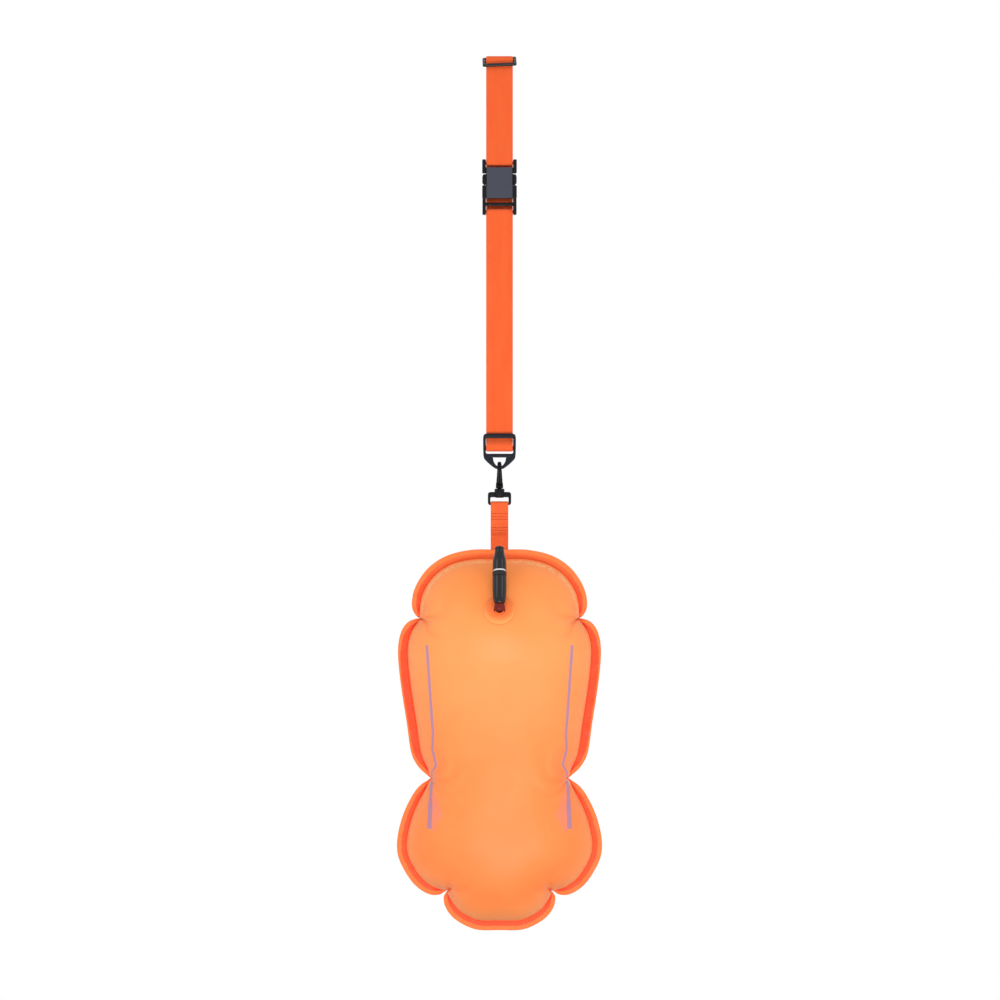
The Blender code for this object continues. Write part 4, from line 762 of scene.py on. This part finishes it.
def sheet_grid(front, count=250, inner=46):
    """Rings of an air sheet from its cut edge over the weld to the spine, mirrored left to right.

    Its height is (1 - share^2.5)^(1/1.9) of the full one, share being the way out from spine to weld. The
    pull of each notch folds the film in rays round it, cos(k angle) times a fall with distance, and the rim
    waves up and down together on both sheets.
    """
    half, stops, notches = outline_half(count)
    flat, out, share = sheet_rings(half, stops, notches, count, inner)
    height = np.clip(1 - share ** FILM_FALL, 0, 1) ** FILM_ROUND * FILM_HEIGHT
    lift, fold_shade = folds(flat, share, stops, notches, half)
    height = np.maximum(height + lift, 0)
    if front:
        height = seated(flat, height)
    side = -1 if front else 1
    wave = rim_wave(flat, stops, notches, out)
    grid = np.stack([flat[:, :, 0], side * (SEAM + height) + wave, flat[:, :, 1] + BUOY_Z], axis=-1)
    other = (grid * (-1, 1, 1))[:, ::-1][:, 1:]
    way_in = np.gradient(grid, axis=0)
    run = np.maximum(np.hypot(way_in[..., 0], way_in[..., 1]), 1e-9)
    level = np.clip(np.abs(way_in[..., 0]) / run, 0.45, 1)
    deep, red, band_end_shade = rim_red(half, out, stops, notches)
    out = out[:, None] * np.ones(len(half))
    marks = dict(out=out, fold_shade=fold_shade, deep=deep, red=red, band_end_shade=band_end_shade, level=level)
    marks = {name: np.concatenate([mark, mark[:, ::-1][:, 1:]], axis=1) for name, mark in marks.items()}
    marks["front"] = np.full(marks["out"].shape, float(front))
    return np.concatenate([grid, other], axis=1), marks


def rim_red(half, out, stops, notches):
    """The rim's red, partly the film's deeper colour and partly painted shade in the groove beside the weld:
    a band from its weld outwards, broad down the sides and narrow elsewhere, which thins to nothing beside
    each notch, then how strong that red is, and how dark the painted shade at the band's ends is."""
    side = np.exp(-((half[:, 1] + 0.21) / 0.085) ** 4) * (half[:, 0] > 0.1)
    start = np.clip(0.46 - 0.30 * side + 0.75 * near_notches(stops, notches, 0.020), 0, 1.2)
    fade = np.clip((out[:, None] - start[None, :]) / 0.4 + 0.5, 0, 1)
    top = np.exp(-(half[:, 1] / 0.035) ** 2)
    low = np.clip((-half[:, 1] - 0.30) / 0.1, 0, 1) * 0.12
    red = np.ones(fade.shape) * (1 - 0.62 * top - low)[None, :]
    end = sum(np.exp(-((abs(stops - notch) - 0.021) / 0.009) ** 2) for notch in notches)
    band_end_shade = fade * np.clip(end, 0, 1)[None, :] * np.clip((out[:, None] - 0.6) / 0.3, 0, 1) * 0.9
    return fade, red, band_end_shade


def folds(flat, share, stops, notches, half):
    """How far the film is lifted by its folds, and how much painted shade lies in each fold's valley, at each
    notch and along the waist's ripples.

    From each notch run rays, cos(k angle) times exp(-(distance / reach)^2), and across the waist run ripples,
    two sines of the height within a band inside the weld.
    """
    lift, fold_shade = np.zeros(share.shape), np.zeros(share.shape)
    open_film = np.clip((1 - share) * 14, 0, 1)
    for notch, rays, strength, reach in zip(notches, (5.0, 7.0, 5.0), (0.0011, 0.0021, 0.0009),
                                            (0.036, 0.046, 0.03)):
        away = flat - half[np.argmin(abs(stops - notch))]
        far = np.linalg.norm(away, axis=-1)
        angle = np.arctan2(away[..., 1], -away[..., 0]) + 0.35 * np.sin(far * 90)
        ray = np.cos(rays * angle + 0.6 * np.sin(far * 60))
        lift += strength * np.exp(-(far / reach) ** 2) * open_film * (ray - 0.35)
        fold_shade += np.clip(-ray - 0.25, 0, 1) * np.exp(-(far / (reach * 0.62)) ** 2)
        fold_shade += 0.35 * np.exp(-(far / 0.010) ** 2)
    z = flat[..., 1] + BUOY_Z
    band = np.exp(-((share - 0.80) / 0.14) ** 2)
    ripple = np.sin(z * WHOLE_TURN / 0.0195 + 4 * share) + 0.6 * np.sin(z * WHOLE_TURN / 0.0123 + 2.1)
    waist = np.exp(-((z + 0.955) / 0.042) ** 2) + 0.3 * np.exp(-((z + 0.86) / 0.05) ** 2)
    lift += 0.0009 * ripple * band * waist * open_film
    fold_shade += 0.34 * np.clip(ripple * 0.5, 0, 1) * band * waist
    return lift, np.clip(fold_shade, 0, 1)


def rim_wave(flat, stops, notches, out):
    """The rim's waving, one amount for both sheets: still at the leash tab, fullest at the cut edge.

    It is the sum of two sines of the way along the outline, and grows by a bell curve beside each notch.
    """
    reach = np.clip(1 - out, 0, 1)[:, None]
    calm = 1 - np.exp(-((np.abs(flat[..., 0])) / 0.034) ** 4)
    run = np.sin(stops * WHOLE_TURN / 0.031) + 0.5 * np.sin(stops * WHOLE_TURN / 0.0177 + 1.3)
    return 0.0016 * reach * calm * (0.35 + 0.65 * near_notches(stops, notches, 0.05)) * run


def seat():
    """Where the valve's seat lies on the front sheet, as y and z below the chamber's top."""
    way_out = (SPINE_INSET + RIM_WIDTH - VALVE_DROP) / SPINE_INSET
    return -SEAM - SHEET - FILM_HEIGHT * max(0.0, 1 - way_out ** FILM_FALL) ** FILM_ROUND, -VALVE_DROP


def seat_centre():
    """The middle of the valve's seat."""
    seat_y, seat_z = seat()
    return 0, seat_y, BUOY_Z + seat_z


def dress_chamber():
    paint = chamber_finish()
    for name, node, front in (("front_sheet", "front_panel", True), ("back_sheet", "back_panel", False)):
        grid, marks = sheet_grid(front)
        piece = surface(name, grid, "buoy", paint, (node,), marks=marks, flip=not front)
        merge(piece.data)
        thicken(piece, SHEET)


def dress_patch():
    """The patch over the leash tab: flat at both sides and raised over the tab by a smooth step."""
    paint = moulded("patch_film", (252, 104, 56), 0.42, 500.0, 0.0001, worn=(246, 92, 46), Coat_Weight=0.2)
    low, high = SEAM + SHEET + GAP, CREASE_Y + LEASH_THICK / 2 + GAP
    across = np.linspace(-PATCH_WIDTH / 2, PATCH_WIDTH / 2, 61)
    down = np.linspace(BUOY_Z - GAP, BUOY_Z - GAP - PATCH_LENGTH, 25)
    step = np.clip((PATCH_WIDTH / 2 - np.abs(across) - 0.0014) / 0.0031, 0, 1)
    rise = low + (high - low) * np.clip(step * step * (3 - 2 * step) * 1.02, 0, 1)
    dimple = 0.00006 * np.sin(across[None, :] * 4200) * np.sin(down[:, None] * 4200)
    grid = np.stack(np.broadcast_arrays(across[None, :], rise[None, :] + dimple, down[:, None]), axis=-1)
    piece = surface("chamber_patch", grid, "buoy", paint, ("leash_patch",), flip=True)
    thicken(piece, PATCH_THICK)


# Valve

def eased(profile, radius, steps=4):
    """A closed (radius, height) profile with each corner replaced by a small quadratic curve that starts and
    ends at most that far from it."""
    at = np.array(profile, float)
    share = np.linspace(0, 1, steps + 1)[None, :, None]
    ends = []
    for other in (np.roll(at, 1, axis=0), np.roll(at, -1, axis=0)):
        way = other - at
        size = np.linalg.norm(way, axis=1)[:, None]
        ends.append(at + way / size * np.minimum(radius, size * 0.45))
    before, after = ends[0][:, None], ends[1][:, None]
    corner = (1 - share) ** 2 * before + 2 * share * (1 - share) * at[:, None] + share ** 2 * after
    return corner.reshape(-1, 2)


def turned(name, profile, foot, axis, body, paint, node, ease_by=0.0003, sides=112):
    """A closed (radius, height) profile carried round an axis that starts at a foot, in the YZ plane."""
    line = eased(profile, ease_by)
    line = np.vstack([line, line[:1]])
    axis = np.array(axis)
    out = np.array([0, axis[2], -axis[1]])
    angle = np.linspace(0, WHOLE_TURN, sides, endpoint=False)[None, :, None]
    spoke = np.cos(angle) * np.array([1.0, 0, 0]) + np.sin(angle) * out
    grid = np.array(foot) + line[:, 1, None, None] * axis + line[:, 0, None, None] * spoke
    surface(name, grid, body, paint, (node,), wrap=True, solid=True)


def dress_seat(centre, normal):
    """The weld disc, with a round dish for the ball and a bead about it."""
    dish_radius = BALL_RADIUS + GAP
    dish = [(dish_radius * math.sin(a), BALL_HEIGHT - dish_radius * math.cos(a))
            for a in np.linspace(math.asin(FLANGE_BORE / dish_radius), CUP_ANGLE, 8)]
    flange = [(FLANGE_RADIUS, 0.0007), (FLANGE_RADIUS, GAP), (FLANGE_BORE, GAP), *dish,
              (CUP_RADIUS, dish[-1][1] - GAP), (CUP_RADIUS, 0.0015), (0.0076, 0.0015), (0.0079, 0.0022),
              (0.0087, 0.0023), (0.0092, 0.0015), (0.0185, 0.0015)]
    turned("weld_disc", flange, centre, normal, "buoy", flange_finish(centre),
           "valve_flange", 0.0002, 144)


def dress_neck(ball, axis):
    """The neck's ball, cut off flat above its middle and at its bore, with a straight tube over it."""
    start, foot = math.asin(NECK_RADIUS / BALL_RADIUS), math.acos(NECK_BORE / BALL_RADIUS) + math.pi / 2
    round_end = [(BALL_RADIUS * math.sin(a), BALL_RADIUS * math.cos(a)) for a in np.linspace(start, foot, 24)]
    neck = [(NECK_RADIUS, NECK_TOP), *round_end, (NECK_BORE, NECK_TOP)]
    turned("neck_tube", neck, ball, axis, "valve", neck_finish(ball), "valve_tube", 0.0001)


def dress_barrel(ball, axis, black):
    """The barrel with its valve seat inside, and the lock collar with its ribs.

    Below its middle the barrel's radius falls by the way down to the power 1.9.
    """
    taper = [(0.0096 - 0.0013 * ((0.031 - h) / 0.0225) ** 1.9, h) for h in np.linspace(0.031, 0.0125, 12)]
    barrel = [(0.007, 0.0509), (0.007, 0.0443), (0.0093, 0.0443), (0.0096, 0.0434), *taper, (0.0082, 0.0096),
              (0.0075, 0.0074), (0.0068, 0.0060), (0.0061, 0.0053), (0.0058, 0.0060), (0.0058, 0.03),
              (0.0032, 0.03), (0.0032, 0.032), (0.006, 0.032), (0.006, 0.0509)]
    turned("valve_shell", barrel, ball, axis, "valve", black, "valve_barrel")
    ribs = [(0.0094 + lift, 0.0506 - 0.002 * rib - down) for rib in range(3)
            for lift, down in ((0.0, 0.0), (0.0004, 0.00035), (0.0004, 0.0014), (0.0, 0.0018))]
    collar = [*ribs, (0.0094, 0.0446), (0.0073, 0.0446), (0.0073, 0.0506)]
    turned("grip_collar", collar, ball, axis, "collar", black, "lock_collar", 0.00015)


def dress_mouth(ball, axis, black):
    """The white band, and the mouthpiece with its lip, its groove and the skirt over the barrel's neck.

    The mouthpiece widens downwards from its groove along half a cosine.
    """
    white = moulded("band_plastic", (226, 226, 230), 0.3, worn=(206, 206, 212))
    band = [(0.0086, 0.0555), (0.0086, 0.0512), (0.006, 0.0512), (0.006, 0.0555)]
    turned("white_band", band, ball, axis, "valve", white, "valve_band")
    neck = [(0.0065 + 0.0029 * (1 - math.cos(math.pi * s)) / 2, 0.0822 - 0.0184 * s)
            for s in np.linspace(0, 1, 14)]
    mouth = [(0.0057, 0.0864), (0.0065, 0.0857), (0.0065, 0.0836), (0.00595, 0.0832), (0.00595, 0.0828),
             *neck, (0.0094, 0.0532), (0.0089, 0.0532), (0.0089, 0.058), (0.0058, 0.058), (0.0058, 0.0619),
             (0.0042, 0.0619), (0.0042, 0.0864)]
    turned("mouth_cap", mouth, ball, axis, "mouth", black, "mouthpiece")


def dress_valve():
    """The valve's turned pieces, each on its own closed profile of (radius, height) along its axis."""
    axis = (0, math.sin(VALVE_LEAN), math.cos(VALVE_LEAN))
    normal = (0, -math.cos(SEAT_TILT), math.sin(SEAT_TILT))
    centre = seat_centre()
    ball = tuple(at + BALL_HEIGHT * way for at, way in zip(centre, normal))
    black = moulded("valve_acetal", (19, 17, 21), 0.17, 1800.0, 0.00001, worn=(28, 25, 30),
                    Specular_IOR_Level=0.35)
    dress_seat(centre, normal)
    dress_neck(ball, axis)
    dress_barrel(ball, axis, black)
    dress_mouth(ball, axis, black)


# Moulded and metal pieces

def dress_ring(paint):
    """The ring as one closed bar round its window and its eye, with a shelf and a round bar across it."""
    half = np.array(RING_HALF) / 1000
    whole = np.concatenate([half, (half * (-1, 1))[::-1][1:-1]])
    outer, inner = flow(whole[:, 0], closed=True), flow(whole[:, 1], closed=True)
    at = (0, -RING_DROP)
    bar("ring_loop", outer, inner, RING_THICK, at, "ring", paint, "ring_plastic", closed=True,
        replaces=("belt_ring",))
    across = np.linspace(-0.0197, 0.0197, 9)
    for name, top, foot, thick, square in (
            ("ring_shelf", -0.0080, -0.0134, RING_THICK - 0.0003, 3.2),
            ("ring_bar", RING_BAR_RADIUS, -RING_BAR_RADIUS, 2 * RING_BAR_RADIUS, 2)):
        bar(name, level_line(across, top), level_line(across, foot), thick, at, "ring", paint, "ring_plastic",
            square=square)


def dress_hook(paint):
    """The hook's back as a blade, an oval carried along the rod's line, and the gate's pin.

    The oval's half width grows by the share of the way to the fork to the power 1.2, its half depth evenly.
    """
    way = flow(HOOK_BACK_LINE, 8)
    share = np.linspace(0, 1, len(way))[:, None]
    wide, deep = 0.0031 + 0.0021 * share ** 1.2, 0.0031 + 0.0012 * share
    tangent = np.gradient(way, axis=0)
    tangent /= np.linalg.norm(tangent, axis=1)[:, None]
    turn = np.linspace(0, WHOLE_TURN, BAR_SIDES, endpoint=False)
    apex = -RING_DROP - RING_TO_APEX
    grid = np.stack([wide * np.cos(turn), way[:, :1] - tangent[:, 1:] * deep * np.sin(turn),
                     way[:, 1:] + tangent[:, :1] * deep * np.sin(turn) + apex], axis=-1)
    surface("hook_blade", grid, "hook", paint, wrap=True, caps=True, solid=True)
    pin = [level_line(np.linspace(-PIN_HALF, PIN_HALF, 5), height) for height in (PIN_RADIUS, -PIN_RADIUS)]
    bar("fork_pin", *pin, 2 * PIN_RADIUS, (-PIN_FORWARD, apex - PIN_DROP), "hook", paint, "pin_steel",
        square=2, replaces=("gate_pin",))


def dress_pads(paint):
    """A thumb pad on each prong, round at its top, and clear of the socket's rail when it is pinched."""
    outer = flow(PAD_OUTER, 6)
    inner = upright_line(PAD_INNER_X, np.linspace(PAD_INNER_TOP, PAD_INNER_FOOT, len(outer)))
    web = [upright_line(across, np.linspace(-0.0290, -0.0354, 5)) for across in (0.0222, 0.0174)]
    at = (-BUCKLE_FORWARD, -BUCKLE_DROP)
    for side, name in ((-1, "left"), (1, "right")):
        mirror, body = (side, 1), "prong_" + name
        bar("thumb_pad_" + name, outer * mirror, inner * mirror, PAD_THICK, at, body, paint, "buckle_plastic",
            square=4)
        bar("pad_web_" + name, web[0] * mirror, web[1] * mirror, PAD_WEB, at, body, paint, "buckle_plastic",
            square=5)


def dress_hardware():
    """Better finishes on the moulded and metal pieces, most of which keep their CAD shape."""
    slider = moulded("slider_acetal", (18, 18, 21), 0.24, worn=(34, 34, 38), Specular_IOR_Level=0.25)
    buckle = buckle_finish()
    dress_pads(buckle)
    dress_ring(moulded("ring_acetal", (24, 27, 36), 0.34, worn=(38, 41, 52), Specular_IOR_Level=0.16))
    coated = moulded("hook_coating", (14, 13, 18), 0.32, 2200.0, worn=(26, 25, 32), Specular_IOR_Level=0.1)
    dress_hook(coated)
    wire = moulded("steel_wire", (150, 150, 154), 0.28, 3000.0, 0.00002, Metallic=1.0)
    base = moulded("base_acetal", (16, 15, 20), 0.36, worn=(28, 26, 33), Specular_IOR_Level=0.16)
    stem = moulded("stem_acetal", (34, 34, 40), 0.26, worn=(54, 52, 58), Specular_IOR_Level=0.3)
    seal = moulded("seal_rubber", (58, 58, 60), 0.6)
    for paint, width, names in (
            (slider, 0.0003, ("belt_slider",)), (buckle, 0.00035, ("buckle_female",)),
            (buckle, 0.0003, ("buckle_male", "buckle_prong_left", "buckle_prong_right")),
            (coated, 0.0003, ("hook_body",)), (coated, 0.0002, ("hook_gate",)), (coated, 0, ("gate_spring",)),
            (base, 0.00035, ("swivel_base",)), (stem, 0, ("valve_stem",)), (wire, 0, ("valve_spring",)),
            (seal, 0, ("valve_seal",))):
        for name in names:
            refinish(name, paint, width)


# Stage

def seen_white(tree):
    """One for rays from the camera, reflections and see-through surfaces, and nought for light on things."""
    path = tree.nodes.new("ShaderNodeLightPath")
    shown = path.outputs["Is Camera Ray"]
    for ray in ("Is Glossy Ray", "Is Transmission Ray"):
        either = tree.nodes.new("ShaderNodeMath")
        either.operation = "MAXIMUM"
        tree.links.new(shown, either.inputs[0])
        tree.links.new(path.outputs[ray], either.inputs[1])
        shown = either.outputs[0]
    return shown


def build_world():
    """A plain even light, seen by the camera as white."""
    world = bpy.data.worlds.new("studio_white")
    bpy.context.scene.world = world
    world.use_nodes = True
    tree = world.node_tree
    sky = tree.nodes["Background"]
    sky.inputs["Color"].default_value = (1, 1, 1, 1)
    level = tree.nodes.new("ShaderNodeMapRange")
    tree.links.new(seen_white(tree), level.inputs["Value"])
    level.inputs["To Min"].default_value = LIGHT_LEVEL
    level.inputs["To Max"].default_value = 1.0
    tree.links.new(level.outputs[0], sky.inputs["Strength"])


def build_floor():
    """A pale disc under the chamber, lifted towards white for the camera while it keeps the shadow."""
    turn = np.linspace(0, WHOLE_TURN, 96, endpoint=False)
    rings = [np.column_stack([r * np.cos(turn), r * np.sin(turn) - 0.2, np.full(96, FLOOR_Z)])
             for r in (0.001, 0.75)]
    paint = bpy.data.materials.new("pale_floor")
    paint.use_nodes = True
    tree = paint.node_tree
    shader = tree.nodes["Principled BSDF"]
    shader.inputs["Base Color"].default_value = (0.93, 0.93, 0.93, 1)
    shader.inputs["Roughness"].default_value = 0.9
    shader.inputs["Emission Color"].default_value = (1, 1, 1, 1)
    glow = tree.nodes.new("ShaderNodeMath")
    glow.operation = "MULTIPLY"
    tree.links.new(seen_white(tree), glow.inputs[0])
    glow.inputs[1].default_value = 0.4
    tree.links.new(glow.outputs[0], shader.inputs["Emission Strength"])
    surface("floor", np.array(rings), None, paint, wrap=True, caps=True)


def lamp(name, at, towards, size, power):
    light = bpy.data.lights.new(name, "AREA")
    light.shape = "RECTANGLE"
    light.size, light.size_y = size
    light.energy = power
    made = bpy.data.objects.new(name, light)
    bpy.context.scene.collection.objects.link(made)
    made.location = at
    made.rotation_euler = (Vector(towards) - Vector(at)).to_track_quat("-Z", "Y").to_euler()


def build_lamps():
    """Two level lamps from the front's sides, a low one for the lowest lobe, and one behind."""
    middle, low_lobes = (0, 0, -0.65), (0, 0, -1.15)
    lamp("key", (-2.7, -2.3, 1.3), middle, (1.3, 2.0), 17.2)
    lamp("fill", (2.8, -2.2, 1.3), middle, (1.3, 2.0), 14.3)
    lamp("low", (0.1, -2.0, -1.75), low_lobes, (1.4, 0.4), 25)
    lamp("rear", (0.6, 3.2, 0.2), middle, (1.8, 1.8), 14)


def build_camera():
    """Square on to the front, from five metres, with 1.39 metres of height in the picture."""
    seen = bpy.data.cameras.new("camera")
    seen.sensor_width = 36
    seen.lens = 36 * 5 / 1.39
    seen.clip_end = 50
    made = bpy.data.objects.new("camera", seen)
    made.location = (0.0007, -5, -0.6172)
    made.rotation_euler = (math.pi / 2, 0, 0)
    bpy.context.scene.collection.objects.link(made)
    bpy.context.scene.camera = made


def main():
    build_camera()
    build_world()
    build_floor()
    build_lamps()
    dress_belt()
    dress_leash()
    dress_chamber()
    dress_patch()
    dress_valve()
    dress_hardware()
    bpy.context.scene.view_settings.view_transform = "Standard"


main()
